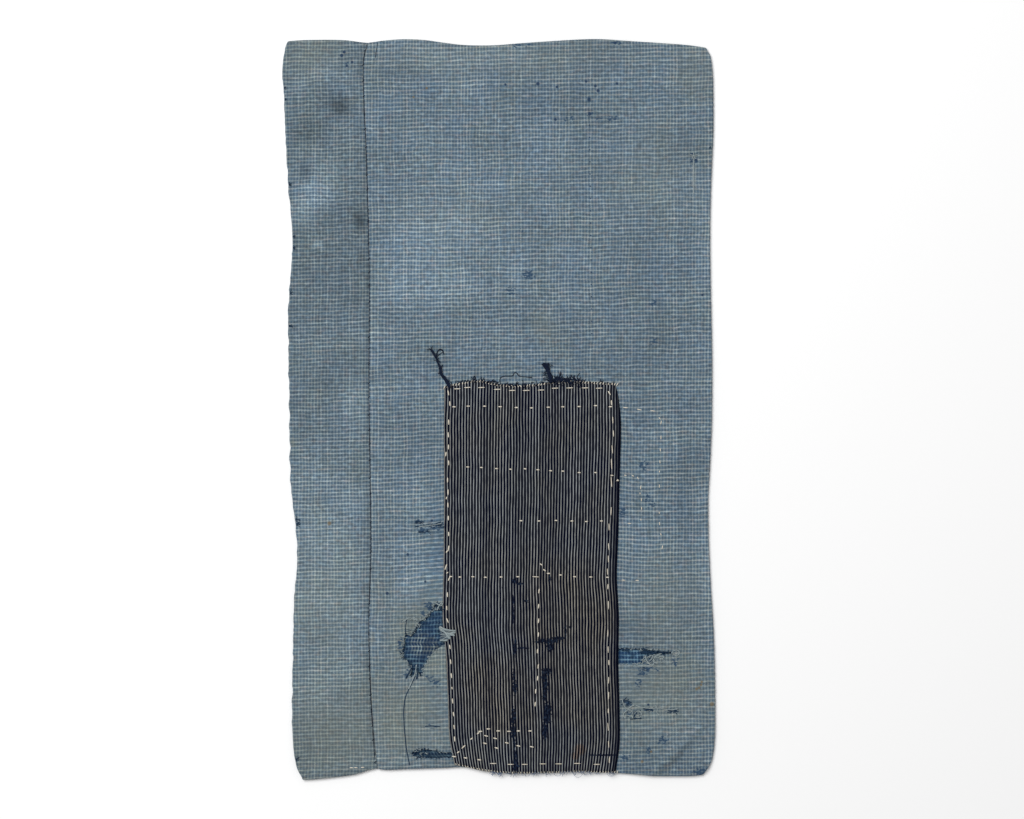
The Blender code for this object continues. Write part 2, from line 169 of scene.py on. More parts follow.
# Where the face is tanned with age
TANNED = (
    (-70, -232, 60, 60, 1), (-56, -176, 44, 60, 1), (125, -150, 50, 60, 0.5), (118, -212, 60, 60, 0.9),
    (0, 266, 170, 26, 0.4), (120, 180, 60, 60, 0.3), (-122, -240, 66, 64, 0.8), (-134, -150, 50, 90, 0.4),
    (-142, 268, 44, 30, 0.55), (150, 258, 34, 44, 0.5), (-88, -140, 26, 60, 0.3), (-65, -163, 6.5, 8, 1),
    (-30, 145, 60, 30, 0.25), (-95.1, -172.1, 5, 8, 0.7), (-115.3, -175.1, 5, 6, 0.6),
    (-154.3, -24.8, 3, 4, 0.9), (34, 62, 14, 22, 0.5),
)

# Where the inner face is made paler, behind the right tear
INNER_PALER = ((98, -186, 18, 14, 0.7),)

# Where the warp's pale lines are rubbed away and the weft shows alone
COMBED = (
    (-44, -110, 22, 62, 1), (-48, -140, 26, 26, 0.9), (-46, -222, 20, 30, 0.6), (104, -205, 22, 30, 0.7),
    (100, -165, 16, 16, 0.5),
)


def along(table, t):
    """The smooth curve through a table's rows, read at t and held level past its ends."""
    if t <= table[0][0]:
        return table[0][1]
    if t >= table[-1][0]:
        return table[-1][1]
    i = next(k for k in range(len(table) - 1) if t <= table[k + 1][0])

    def slope(k):
        before, after = table[max(k - 1, 0)], table[min(k + 1, len(table) - 1)]
        return (after[1] - before[1]) / (after[0] - before[0])

    (t0, a), (t1, b) = table[i], table[i + 1]
    s = (t - t0) / (t1 - t0)
    rise_a, rise_b = slope(i) * (t1 - t0), slope(i + 1) * (t1 - t0)
    return (
        (2 * s**3 - 3 * s**2 + 1) * a
        + (s**3 - 2 * s**2 + s) * rise_a
        + (3 * s**2 - 2 * s**3) * b
        + (s**3 - s**2) * rise_b
    )


def mix(a, b, share):
    """The value that lies a share of the way from a to b."""
    return a + (b - a) * share


def bump(t):
    """A smooth hump, 1 at the middle and 0 from 1 outwards."""
    return (1 - t * t) ** 2 if abs(t) < 1 else 0.0


def near_edge(off, depth, reach):
    """A depth that fades out over a reach, at a distance off the edge or the seam."""
    return depth * bump(off / reach)


def humps(x, y, rows):
    """How far each row of a table reaches at a place."""
    return [far * bump((x - a) / w) * bump((y - b) / h) for a, b, w, h, far in rows]


def uneven(*place):
    """Smooth random unevenness, from -1 to 1."""
    return noise.noise(Vector(place))


def swell(x, y):
    """How far the cloth stands off the surface."""
    total = 0.0
    for right, up, turn, half_length, half_width, height in SWELLS:
        c, s = math.cos(math.radians(turn)), math.sin(math.radians(turn))
        lengthways = (x - right) * c + (y - up) * s
        crossways = (y - up) * c - (x - right) * s
        total += height * bump(lengthways / half_length) * bump(crossways / half_width)
    return total


def ripple(x, y):
    """The small unevenness of worn cotton that lies loose."""
    return 0.22 * uneven(x / 34, y / 26, 4) + 0.07 * uneven(x / 9, y / 7, 9)


def face_height(x, y):
    """Height of the front's face, lower where it is sewn down or ends."""
    up, off_seam = y - along(BOTTOM_EDGE, x), x - along(FRONT_SEAM, y)
    z = FACE_LEVEL + swell(x, y) + ripple(x, y) + HEM_RISE * bump((up - HEM_MIDDLE) / HEM_WIDTH)
    z -= near_edge(along(TOP_EDGE, x) - y, *TOP_SINK) + near_edge(up, *LOW_SINK)
    z -= near_edge(up - HEM_WIDTH, *HEM_SINK)
    wave = math.sin(y / 1.3 + 2 * uneven(0, y / 12, 1))
    return z - near_edge(off_seam, *SEAM_SINK) - near_edge(off_seam, *PUCKER) * wave


def under_height(x, y):
    """Height of the back layer's outer face, lifted a little where the front is torn."""
    return 0.4 * swell(x, y) + max(humps(x, y, TEAR_MIDDLES))


def wear_and_shade_of_face(x, y):
    """What the face has gone through, with painted light and shade of its swells in the third value:
    (worn, tanned, paler and counted from 0.5, whole warp).
    """
    return (
        max(humps(x, y, WORN)),
        max(humps(x, y, TANNED)),
        0.5 + sum(humps(x, y, FADED_AND_SHADED)),
        1 - max(humps(x, y, COMBED)),
    )


def wear_of_inner(x, y):
    """The same for the back layer, whose inner face shows in the tears."""
    return 0.0, 0.0, 0.5 + max(humps(x, y, INNER_PALER)), 1.0


def ticks(first, last, step):
    """Even steps between two places, with finer ones at each end."""
    inner_first, inner_last = first + END_STEPS[-1], last - END_STEPS[-1]
    count = round((inner_last - inner_first) / step)
    return (
        [first + d for d in END_STEPS[:-1]]
        + [mix(inner_first, inner_last, k / count) for k in range(count + 1)]
        + [last - d for d in reversed(END_STEPS[:-1])]
    )


def length_of_cloth(side, lean):
    """One length of cloth, from the front seam round a side edge (1 right, -1 left) to the back seam."""
    edge = RIGHT_EDGE if side > 0 else LEFT_EDGE
    heights = ticks(CLOTH_BOTTOM, CLOTH_TOP, CELL)
    shares = [t / 100 for t in ticks(0, 100, 100 * CELL / abs(along(edge, 0) - SEAM_PLACE))]
    back_cells = round(abs(along(edge, 0) - BACK_SEAM) / BACK_CELL)
    fold_start = len(shares) - 1
    fold_end = fold_start + FOLD_CELLS
    columns = fold_end + back_cells + 1
    bm = bmesh.new()
    weave = bm.loops.layers.uv.new("weave")
    wear_and_shade = bm.verts.layers.float_color.new("wear_and_shade")
    bmesh.ops.create_grid(bm, x_segments=columns - 1, y_segments=len(heights) - 1, size=0.5)
    places = {}
    for vertex in bm.verts:
        i = round((vertex.co.x + 0.5) * (columns - 1))
        nominal = heights[round((vertex.co.y + 0.5) * (len(heights) - 1))]
        share_up = (nominal - CLOTH_BOTTOM) / (CLOTH_TOP - CLOTH_BOTTOM)

        # The side edge at this height, with the small notches of the left one, and how wide its fold is
        outer = along(edge, nominal) + 0.3 * uneven(nominal / 2.6, side, 12)
        outer += 0.9 * uneven(nominal / 8, 3, 14) if side < 0 else 0.0
        radius = (face_height(outer, nominal) - under_height(outer, nominal)) / 2
        centre = outer - side * radius
        turned = min(max((i - fold_start) / FOLD_CELLS, 0), 1)
        angle = math.pi * (0.5 - turned)
        if i < fold_start:
            x = mix(along(FRONT_SEAM, nominal) + side * SEAM_GAP / 2, centre, shares[i])
            across = x
        elif i <= fold_end:
            x = centre + side * radius * math.cos(angle)
            across = centre + side * math.pi * radius * turned
        else:
            x = mix(centre, BACK_SEAM + side * SEAM_GAP / 2, (i - fold_end) / back_cells)
            across = centre + side * (math.pi * radius + abs(x - centre))
        y = mix(along(BOTTOM_EDGE, x) + END_TUCK * turned, along(TOP_EDGE, x) - END_TUCK * turned, share_up)
        high, low = face_height(x, y), under_height(x, y)
        z = (high + low + (high - low) * math.sin(angle)) / 2
        if i < fold_start:
            z = high
        elif i > fold_end:
            z = low
        vertex.co = Vector((x, y, z)) * MM
        vertex[wear_and_shade] = wear_and_shade_of_face(x, y) if i < fold_start + 3 else wear_of_inner(x, y)

        # The weave runs with the cloth, a little askew, and is drawn up round the patch
        drawn_up = 6 * bump((x - 25) / 95) * bump((y + 90) / 160) if i <= fold_start else 0
        bent = 0.6 * uneven(x / 60, y / 40, 7)
        places[vertex] = ((across + bent) * MM, (y - lean * x - drawn_up) * MM)
    for face in bm.faces:
        for loop in face.loops:
            loop[weave].uv = places[loop.vert]
    if side < 0:
        bmesh.ops.reverse_faces(bm, faces=bm.faces[:])
    return bm


def inside(outline, x, y):
    """True if a point lies within an outline."""
    crossings = 0
    for (x0, y0), (x1, y1) in zip(outline, outline[1:] + outline[:1]):
        if (y0 > y) != (y1 > y) and x < x0 + (x1 - x0) * (y - y0) / (y1 - y0):
            crossings += 1
    return crossings % 2 == 1


def tear(bm, outline):
    """Tear a sheet's front open along an outline, with the broken yarns of its edge uneven."""
    xs, ys = [p[0] for p in outline], [p[1] for p in outline]

    def near(face):
        x, y, _ = face.calc_center_median() / MM
        return face.normal.z > 0.5 and min(xs) - 3 < x < max(xs) + 3 and min(ys) - 3 < y < max(ys) + 3

    for _ in range(2):
        edges = {edge for face in bm.faces if near(face) for edge in face.edges}
        bmesh.ops.subdivide_edges(bm, edges=list(edges), cuts=1, use_grid_fill=True)
        bm.normal_update()
    gone = []
    for face in filter(near, bm.faces):
        x, y, _ = face.calc_center_median() / MM
        broken, drawn = 0.9 * uneven(x / 1.6, y / 0.9, 2), 0.5 * uneven(x / 0.8, y / 5, 5)
        if inside(outline, x + broken, y + drawn):
            gone.append(face)
    bmesh.ops.delete(bm, geom=gone, context="FACES")


class Finish:
    """A cloth's material: each method adds a shader node and gives what comes out of it."""

    def __init__(self, name, roughness, sheen):
        self.material = bpy.data.materials.new(name)
        self.material.use_nodes = True
        self.tree = self.material.node_tree
        self.shader = self.tree.nodes["Principled BSDF"]
        self.shader.inputs["Roughness"].default_value = roughness
        self.shader.inputs["Sheen Weight"].default_value = sheen
        self.shader.inputs["Sheen Roughness"].default_value = 0.6
        self.shader.inputs["Specular IOR Level"].default_value = 0.12

    def node(self, kind, *values, **settings):
        """A node whose inputs, in order, are values or other nodes' outputs; None leaves one as it is."""
        node = self.tree.nodes.new("ShaderNode" + kind)
        for name, value in settings.items():
            setattr(node, name, value)
        for socket, value in zip(node.inputs, values):
            if isinstance(value, bpy.types.NodeSocket):
                self.tree.links.new(value, socket)
            elif value is not None:
                socket.default_value = value
        return node

    def maths(self, operation, *values):
        return self.node("Math", *values, operation=operation).outputs[0]

    def vector(self, operation, *values, result="Vector"):
        return self.node("VectorMath", *values, operation=operation).outputs[result]

    def times(self, first, second):
        return self.maths("MULTIPLY", first, second)

    def ramp(self, value, low, high, first, last):
        """The value eased from first at low to last at high."""
        node = self.node("MapRange", value, low, high, first, last, interpolation_type="SMOOTHSTEP")
        return node.outputs[0]

    def blend(self, share, first, second, kind="MIX"):
        return self.node("MixRGB", share, first, second, blend_type=kind).outputs[0]

    def tinted(self, share, colour, tint):
        """The colour multiplied by a tint, by a share of it."""
        return self.blend(share, colour, tint, "MULTIPLY")

    def stretched(self, place, sizes):
        """Coordinates in which a pattern repeats over these sizes, in metres."""
        return self.vector("MULTIPLY", place, tuple(1 / s for s in sizes))

    def cloudy(self, place, sizes, detail=2):
        """Soft noise with patches of these sizes, 0 to 1."""
        return self.node("TexNoise", self.stretched(place, sizes), None, 1, detail).outputs[0]

    def drifting(self, place, sizes, detail, reach):
        """Coordinates that wander by up to a reach across and up, over patches of these sizes."""
        drift = self.node("TexNoise", self.stretched(place, sizes), None, 1, detail).outputs["Color"]
        return self.vector("MULTIPLY_ADD", drift, reach, place)

    def chance(self, number, shift):
        """A random number for each whole number."""
        moved = self.maths("ADD", number, shift)
        return self.node("TexWhiteNoise", None, moved, noise_dimensions="1D").outputs[0]

    def lines(self, place, pitch, width, soft):
        """(which line, how far in it) of lines that repeat at a pitch, as wide as a share of it."""
        turns = self.maths("DIVIDE", place, pitch)
        off = self.maths("ABSOLUTE", self.maths("SUBTRACT", self.maths("FRACT", turns), 0.5))
        return self.maths("FLOOR", turns), self.ramp(off, width / 2 + soft, width / 2 - soft, 0, 1)

    def spots(self, rows):
        """How far a point lies in one of the small round spots, rows of (right, up, radius)."""
        here = self.node("TexCoord").outputs["Object"]
        flat = self.vector("MULTIPLY", here, (1, 1, 0))
        total = 0
        for x, y, radius in rows:
            away = self.vector("DISTANCE", flat, (x * MM, y * MM, 0), result="Value")
            total = self.maths("MAXIMUM", self.ramp(away, 1.3 * radius * MM, 0.7 * radius * MM, 0, 1), total)
        return total

    def finished(self, colour, height, depth):
        """The material, with its colour and its relief."""
        relief = self.node("Bump")
        relief.inputs["Strength"].default_value = 0.6
        relief.inputs["Distance"].default_value = depth
        self.tree.links.new(height, relief.inputs["Height"])
        self.tree.links.new(relief.outputs[0], self.shader.inputs["Normal"])
        self.tree.links.new(colour, self.shader.inputs["Base Color"])
        return self.material


WARP_YARN, WEFT_YARN, WEAVE_RELIEF = 0.6 * MM, 0.65 * MM, 0.12 * MM
CHECK_ACROSS, CHECK_UP, INNER_CHECK_UP = 2.38 * MM, 3.13 * MM, 3.15 * MM
GROUND_BLUE = (0.062, 0.108, 0.162, 1)
PALE_YARN = (0.335, 0.385, 0.385, 1)
INNER_GROUND = (0.0058, 0.0255, 0.067, 1)
INNER_PALE = (0.155, 0.265, 0.335, 1)
WORN_NAVY = (0.020, 0.052, 0.102, 1)
HOLE_NAVY = (0.012, 0.034, 0.078, 1)
TAN, TAN_TINT = (0.180, 0.205, 0.195, 1), (1.05, 1, 0.90, 1)
YELLOWED = (0.29, 0.33, 0.29, 1)
RUST = (0.16, 0.115, 0.055, 1)

# The tints that wander over the face, two by two
GREENER, BLUER = (1.05, 1, 0.78, 1), (0.86, 1, 1.16, 1)
PINKER, COOLER = (1.16, 0.96, 0.92, 1), (0.92, 1.02, 1.06, 1)

# Small spots, as rows of (right, up, radius): the holes of an old line of stitches, other holes, and rust
OLD_STITCH_HOLES = [(68.1 + 0.011 * k * 9.2, 213.4 - k * 9.2, 0.55) for k in range(18)]
SMALL_HOLES = [
    (152.8, 85.9, 0.9), (87.3, 275.2, 1.2), (112.2, -221.4, 0.9), (145, 191.6, 1), (148, 187, 1.1),
    (144.6, 186.4, 0.8), (65.6, 246.1, 1), (72.5, 242.7, 1.1), (74.6, 239.1, 1.2), (67.7, 232.4, 1.3),
    (68.2, 221.6, 1.2), (88.7, 244.6, 1), (43.7, 242, 1), (42.5, 217.6, 1.1), (5, 243.8, 0.9),
    (29.4, 244.4, 1.3), (-68.3, -108.8, 1.1), (-61.5, -85.1, 0.9), (-50.2, -83.3, 0.9),
    (-55.1, -129.1, 0.9), (-83.7, -137.9, 1.2),
] + OLD_STITCH_HOLES
RUST_SPOTS = [
    (-54.1, 241.1, 0.9), (-63.9, 234.4, 0.8), (152.3, -204.4, 0.9), (151.9, -206.6, 0.9),
    (150.3, -208.8, 1), (148.4, -209.6, 1.1), (160, -221, 1.6), (-127.1, -85.5, 1.5), (114.4, -256.7, 0.9),
    (107.5, -264.2, 1.1),
]
YELLOW_SPOTS = [(-58, -176.5, 9), (-52, -177, 7)]


def check_cloth(name, rows, ground, pale, fade, holes=(), rust=(), soft=0.13, yellowed=(), rubbed=1):
    """Plain-woven cotton with a fine pale check, its weft lines stronger than its warp lines."""
    f = Finish(name, 0.95, 0.12)
    weave = f.node("UVMap", uv_map="weave").outputs[0]
    weave = f.drifting(weave, (0.030, 0.022, 1), 3, (2.2 * MM, 3.4 * MM, 0))
    across, up, _ = f.node("SeparateXYZ", weave).outputs

    # The pale warp and weft lines of the check, rubbed thin in places
    warp_line, warp_pale = f.lines(across, CHECK_ACROSS, 0.40, soft)
    weft_line, weft_pale = f.lines(up, rows, 0.34, soft)
    warp_pale = f.times(warp_pale, f.ramp(f.chance(warp_line, 11.5), 0, 1, 0.60, 1))
    warp_pale = f.times(warp_pale, f.ramp(f.cloudy(weave, (0.004, 0.014, 1)), 0.3, 0.7, 0.55, 1.10))
    weft_pale = f.times(weft_pale, f.ramp(f.chance(weft_line, 47.5), 0, 1, 0.75, 1))
    weft_pale = f.times(weft_pale, f.ramp(f.cloudy(weave, (0.014, 0.005, 1)), 0.3, 0.7, 0.70, 1.10))
    if yellowed:
        pale = f.blend(f.times(f.spots(yellowed), 0.8), pale, YELLOWED)
    rubbing = f.ramp(f.cloudy(weave, (0.009, 0.006, 1)), 0.38, 0.62, rubbed, 1)
    wear_and_shade = f.node("VertexColor", layer_name="wear_and_shade").outputs
    warp_pale = f.times(f.times(warp_pale, rubbing), wear_and_shade["Alpha"])
    weft_pale = f.times(weft_pale, rubbing)

    # Each yarn has its own tone, and the two sets go over and under each other
    warp_yarn, warp_round = f.lines(across, WARP_YARN, 0.5, 0.45)
    weft_yarn, weft_round = f.lines(up, WEFT_YARN, 0.5, 0.45)
    warp = f.tinted(1, f.blend(warp_pale, ground, pale), f.ramp(f.chance(warp_yarn, 3.5), 0, 1, 0.88, 1.12))
    weft = f.tinted(1, f.blend(weft_pale, ground, pale), f.ramp(f.chance(weft_yarn, 8.5), 0, 1, 0.88, 1.12))
    over = f.maths("PINGPONG", f.maths("ADD", warp_yarn, weft_yarn), 1)
    colour = f.blend(f.ramp(over, 0, 1, 0.38, 0.76), warp, weft)

    # Uneven dye and fading: in clouds, in single squares of the check and in short streaks along the yarns
    for sizes, detail, low, high, dark, light in (
        ((0.045, 0.036, 1), 4, 0.25, 0.75, 1 - fade, 1 + fade),
        ((0.0034, 0.0028, 1), 2, 0.28, 0.72, 0.80, 1.18),
        ((0.0045, 0.0011, 1), 1, 0.3, 0.7, 0.86, 1.12),
    ):
        colour = f.tinted(1, colour, f.ramp(f.cloudy(weave, sizes, detail), low, high, dark, light))
    green, pink = f.cloudy(weave, (0.022, 0.030, 1), 3), f.cloudy(weave, (0.0065, 0.0042, 1), 1)
    for where, low, high, share, tint in (
        (green, 0.42, 0.68, 0.22, GREENER),
        (green, 0.48, 0.28, 0.25, BLUER),
        (pink, 0.52, 0.72, 0.5, PINKER),
        (pink, 0.46, 0.30, 0.5, COOLER),
    ):
        colour = f.tinted(f.ramp(where, low, high, 0, share), colour, tint)

    # Paler and darker places, partly real fading and partly painted light and shade of the swells; tanned
    # and worn places, and small stains
    worn, tanned, fade_and_shade = f.node("SeparateColor", wear_and_shade["Color"]).outputs
    colour = f.tinted(1, colour, f.maths("ADD", fade_and_shade, 0.5))
    colour = f.tinted(tanned, f.blend(f.times(tanned, 0.35), colour, TAN), TAN_TINT)
    rag = f.ramp(f.cloudy(weave, (0.0026, 0.0015, 1)), 0.34, 0.66, 0, 0.8)
    bare = f.ramp(f.maths("ADD", worn, rag), 0.88, 1.08, 0, 0.92)
    colour = f.blend(bare, colour, f.blend(f.times(warp_pale, 0.4), WORN_NAVY, ground))
    if rust:
        colour = f.blend(f.times(f.spots(rust), 0.7), colour, RUST)
    if holes:
        colour = f.blend(f.times(f.spots(holes), 0.92), colour, HOLE_NAVY)

    height = f.maths("MAXIMUM", warp_round, weft_round)
    height = f.maths("ADD", height, f.times(f.maths("MAXIMUM", warp_pale, weft_pale), 0.5))
    return f.finished(colour, height, WEAVE_RELIEF)


inner_face = check_cloth("unfaded_inner_face", INNER_CHECK_UP, INNER_GROUND, INNER_PALE, 0.25,
                         soft=0.08, rubbed=0.35, yellowed=YELLOW_SPOTS)
main_face = check_cloth("faded_check_face", CHECK_UP, GROUND_BLUE, PALE_YARN, 0.12, SMALL_HOLES, RUST_SPOTS)


def placed(name, data):
    """Mesh, curve, lamp or camera data as an object in the scene."""
    obj = bpy.data.objects.new(name, data)
    bpy.context.scene.collection.objects.link(obj)
    return obj


def formed(name, bm, *materials):
    """A bmesh as a smooth object, with its materials."""
    for face in bm.faces:
        face.smooth = True
    mesh = bpy.data.meshes.new(name)
    bm.to_mesh(mesh)
    bm.free()
    for material in materials:
        mesh.materials.append(material)
    return placed(name, mesh)


def finish_sheet(name, bm, thickness, *materials):
    """The sheet as an object, given its thickness inwards from its face."""
    obj = formed(name, bm, *materials)
    solid = obj.modifiers.new("thickness", "SOLIDIFY")
    solid.thickness = thickness * MM
    solid.offset = -1
    solid.material_offset = len(materials) - 1
    solid.material_offset_rim = 0
    return obj


main_bm = length_of_cloth(1, MAIN_LEAN)
for outline in TEARS:
    tear(main_bm, outline)
main_cloth = finish_sheet("main_cloth_check", main_bm, CLOTH_THICKNESS, main_face, inner_face)
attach(main_cloth, "root")
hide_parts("main_cloth")

# Side cloth: a second length of the same cotton, woven a little closer, from the front seam round the left
# fold, with most of it behind. It is sewn to the main cloth along the front seam and behind. Its face is
# greyer, and its left fold is worn into small nicks.
SIDE_CHECK_UP = 2.97 * MM
SIDE_GROUND = (0.060, 0.099, 0.142, 1)
SIDE_PALE = (0.295, 0.345, 0.345, 1)
SIDE_HOLES = [(-116, 268.2, 1.1), (-117.8, 265.6, 1.3), (-114, 257.8, 1), (-110, 260.6, 1)]
SIDE_LEAN, SIDE_FLAT = 0.022, (0.302, 0.550)
side_face = check_cloth("faded_side_face", SIDE_CHECK_UP, SIDE_GROUND, SIDE_PALE, 0.12,
                        SIDE_HOLES, RUST_SPOTS)
side_bm = length_of_cloth(-1, SIDE_LEAN)
side_cloth = finish_sheet("side_cloth_check", side_bm, CLOTH_THICKNESS, side_face, inner_face)
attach(side_cloth, "root")
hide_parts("side_cloth")

# Striped patch: navy cotton with fine cream stripes, cut 13 cm by 29 cm. Its left edge is turned under, its
# right edge is a navy selvedge, and its ends are raw. It is sewn over the lower middle of the front.
PATCH_LOW, PATCH_HIGH, PATCH_CELL, PATCH_THICKNESS, PATCH_RISE = -272, 20, 1.5, 0.7, 1.35
PATCH_WIDTH, PATCH_LENGTH, PATCH_FLAT, WOVEN_WIDTH = 131, 292, (0.132, 0.292), 132
STITCH_SINK, PATCH_EDGE_SINK = (0.45, 3.5), (0.65, 2.6)
PATCH_LEFT = (
    (-272, -33.2), (-251, -37), (-222, -38.2), (-182, -40), (-160, -42), (-123, -41.5), (-67, -41),
    (-18, -41.1), (20, -40.7),
)
PATCH_RIGHT = (
    (-272, 87.5), (-250, 90.6), (-225, 90.6), (-188, 89.6), (-153, 90), (-126, 88.5), (-93, 89.6),
    (-38, 91), (-8, 91.5), (10, 89.6), (20, 87),
)
PATCH_TOP = (
    (-41, 17.5), (-28, 20.2), (-15, 22), (-6, 20.2), (5, 18.4), (19, 18.4), (31, 19.5), (39, 20.8),
    (59, 21.2), (74, 20.5), (88, 19.8),
)
PATCH_BOTTOM = (
    (-34, -266.3), (-22, -268.7), (-12, -271), (1, -272.5), (14, -273.1), (42, -272.5), (60, -271.9),
    (88, -272.6),
)

# The running stitches that show on the patch: rows across it of (turned by degrees, length, places of
# their middles), a column up its left edge of (right, up, turned by degrees, length), and one up its
# right edge of (right, up, length)
ROW_STITCHES = (
    (2, 5.8, ((-31.2, 15.5), (-23.4, 16.5), (-13.1, 16.5), (-1, 15.1), (10.1, 14.3), (20.7, 14.3),
        (31.8, 14.6), (42.3, 16), (53.2, 16.2), (64.8, 16.2), (75.2, 16))),
    (0, 3, ((-33.5, 2), (-22.8, 2.5), (-10.6, 2.5), (1.1, 2.1), (13.2, 1.5), (24.5, 1.2), (37.2, 1.7),
        (48.1, 2), (60.3, 2.2), (72.6, 2.9), (83.8, 2.1))),
    (-5, 2.6, ((-23.2, -43.1), (-13, -43.5), (-1.6, -44.3), (8.8, -44.8), (19.8, -44.5), (29.4, -45.2),
        (39, -45.9), (48.1, -46.2), (60.3, -47.3), (72.6, -47.3), (84.9, -49.4))),
    (0, 2.6, ((16.7, -83.4), (30.2, -83.6), (42.9, -83.2), (54.9, -83.6), (65.7, -84), (77, -83.6))),
    (-2, 2.8, ((-36, -125.2), (-29.1, -125.6), (-19.4, -125.4), (-10.1, -125.8), (1.7, -125.6),
        (14.4, -125.4), (37.3, -122.9), (46.2, -124.1), (56.9, -125.4), (69, -125.6), (81.6, -125.8))),
    (-3, 5.6, ((27.8, -125.4),)), (-35, 2.8, ((31.8, -116.2), (34.3, -120.5))),
    (-7, 3.6, ((-33.4, -260.2), (-24.9, -261.2), (-14.6, -262.6))),
    (84, 4.4, ((30.2, -136.1), (29.9, -147.4), (29.9, -158.4), (29.7, -168.8), (29.1, -181.1),
        (29.6, -192.7), (29.1, -201.4), (27.7, -211.3), (27.3, -220.9))),
    (0, 3.4, ((-13.8, -241.3), (-7.8, -239.5), (-0.4, -241), (7.7, -241.3), (14.8, -241), (23.5, -241))),
    (-14, 3.6, ((-9.5, -244.7), (-2.6, -246.6), (6.1, -250), (14.8, -252.2), (24.7, -252.9),
        (-10.3, -250.3), (-1.6, -253.8))),
    (42, 4.8, ((-26.4, -252.9),)), (38, 2.8, ((-30.4, -257), (-20.4, -246.8), (-15.4, -242.7))),
    (0, 5.6, ((-4.1, -265.3), (8.8, -266), (19.5, -266), (33.1, -265.6), (45, -265.6), (58.9, -265.3),
        (73.5, -266))),
)
LEFT_STITCHES = (
    (-37.8, 12.4, 100, 5), (-36.6, 4.5, 92, 5), (-37.5, -9.4, 92, 5.2), (-37.8, -19, 95, 5.2),
    (-37.7, -28.1, 88, 4.6), (-39.6, -33.4, 84, 3.8), (-37.5, -40, 92, 4.6), (-38.4, -52.9, 88, 4.6),
    (-38, -61.9, 90, 5.2), (-39.2, -66.4, 74, 2.2), (-38.1, -71.6, 92, 4.6), (-37.8, -81.4, 90, 4.4),
    (-37.5, -93.4, 92, 4), (-37.6, -103.9, 80, 5.2), (-38.9, -106.6, 60, 2.4), (-39.6, -118, 70, 5.2),
    (-38.6, -122.4, 40, 2), (-37.3, -127, 64, 4), (-38.5, -138.8, 92, 4.8), (-39, -148.9, 95, 4.2),
    (-38.4, -158.3, 112, 4.8), (-36.6, -178.1, 98, 4.2), (-36.1, -189, 98, 4.8), (-35.5, -199.5, 98, 4.8),
    (-35, -208.9, 100, 2.2), (-34.6, -218.6, 98, 5.2), (-33.9, -228.4, 98, 4.2), (-33.4, -238.1, 98, 4.2),
    (-33.1, -247, 95, 5.2),
)
RIGHT_STITCHES = (
    (84.5, 5.2, 4.6), (85.5, -7.9, 6), (86, -18, 5.4), (85.1, -29.6, 8), (84.6, -40.9, 10),
    (84.5, -54.7, 9.6), (84.2, -76.1, 7.4), (82.7, -88.1, 6), (82.4, -102.7, 6), (82.2, -112.1, 6),
    (81.5, -121.6, 5.4), (81.9, -132.8, 5.2), (82.2, -146.3, 8), (81.8, -167.6, 6.2), (82, -180, 5.6),
    (82.6, -189.8, 5.2), (82.4, -202.9, 6), (82.4, -214.5, 6.6), (82.2, -226, 4.6), (82, -238, 7.2),
    (82.4, -250.9, 6), (82.9, -262.9, 6),
)
CORNER_STITCH = (82.9, 12.4, 122, 4.4)
seed(5)
patch_stitches = [(x, y, turn, length) for turn, length, places in ROW_STITCHES for x, y in places]
patch_stitches += LEFT_STITCHES
patch_stitches += [(x, y, 91 + uniform(-4, 4), length) for x, y, length in RIGHT_STITCHES]
patch_stitches.append(CORNER_STITCH)
stitch_tree = kdtree.KDTree(len(patch_stitches))
for k, (x, y, turn, length) in enumerate(patch_stitches):
    stitch_tree.insert((x, y, 0), k)
stitch_tree.balance()


def patch_height(x, y, edge_distance=9):
    """Height of the patch's face: drawn down by its stitches and lying down at its edges."""
    away = stitch_tree.find((x, y, 0))[2]
    puff = 0.25 * uneven(x / 11, y / 14, 30) + 0.12 * uneven(x / 4, y / 9, 3)
    sunk = near_edge(away, *STITCH_SINK) + near_edge(edge_distance, *PATCH_EDGE_SINK)
    return face_height(x, y) + PATCH_RISE + puff - sunk


patch_bm = bmesh.new()
weave = patch_bm.loops.layers.uv.new("weave")
cells_across, cells_up = round(PATCH_WIDTH / PATCH_CELL), round(PATCH_LENGTH / PATCH_CELL)
bmesh.ops.create_grid(patch_bm, x_segments=cells_across, y_segments=cells_up, size=0.5)
patch_places = {}
for vertex in patch_bm.verts:
    share_across, share_up = vertex.co.x + 0.5, vertex.co.y + 0.5
    nominal = mix(PATCH_LOW, PATCH_HIGH, share_up)
    x = mix(along(PATCH_LEFT, nominal), along(PATCH_RIGHT, nominal), share_across)
    y = mix(along(PATCH_BOTTOM, x), along(PATCH_TOP, x), share_up)
    from_sides = min(share_across, 1 - share_across) * PATCH_WIDTH
    from_ends = min(share_up, 1 - share_up) * PATCH_LENGTH
    vertex.co = Vector((x, y, patch_height(x, y, min(from_sides, from_ends)))) * MM
    left, right = along(PATCH_LEFT, nominal), along(PATCH_RIGHT, min(nominal, -8))
    patch_places[vertex] = ((x - left) / (right - left) * WOVEN_WIDTH * MM, y * MM)
for face in patch_bm.faces:
    for loop in face.loops:
        loop[weave].uv = patch_places[loop.vert]

STRIPE_STEP, PICK, TURNED_UNDER = 2.2, 0.6 * MM, (1.3 * MM, 0.8 * MM)
SELVEDGE = (130.4 * MM, 130.9 * MM)
STRIPE_NAVY = (0.0018, 0.0030, 0.0120, 1)
STRIPE_CREAM = (0.284, 0.304, 0.308, 1)
EDGE_TAN = (0.215, 0.190, 0.150, 1)
FUZZ_BLUE = (0.018, 0.036, 0.075, 1)
STRIPE_TINT, AGED_TINT, STAIN_TINT = (1.12, 1.02, 0.86, 1), (1.16, 1, 0.80, 1), (1.10, 0.80, 0.62, 1)
AGED_SPOTS = [(54, -150, 38), (60, -205, 34), (0, -215, 30)]
STAIN_SPOTS = [(61, -255, 4.2), (57.6, -259.6, 3)]

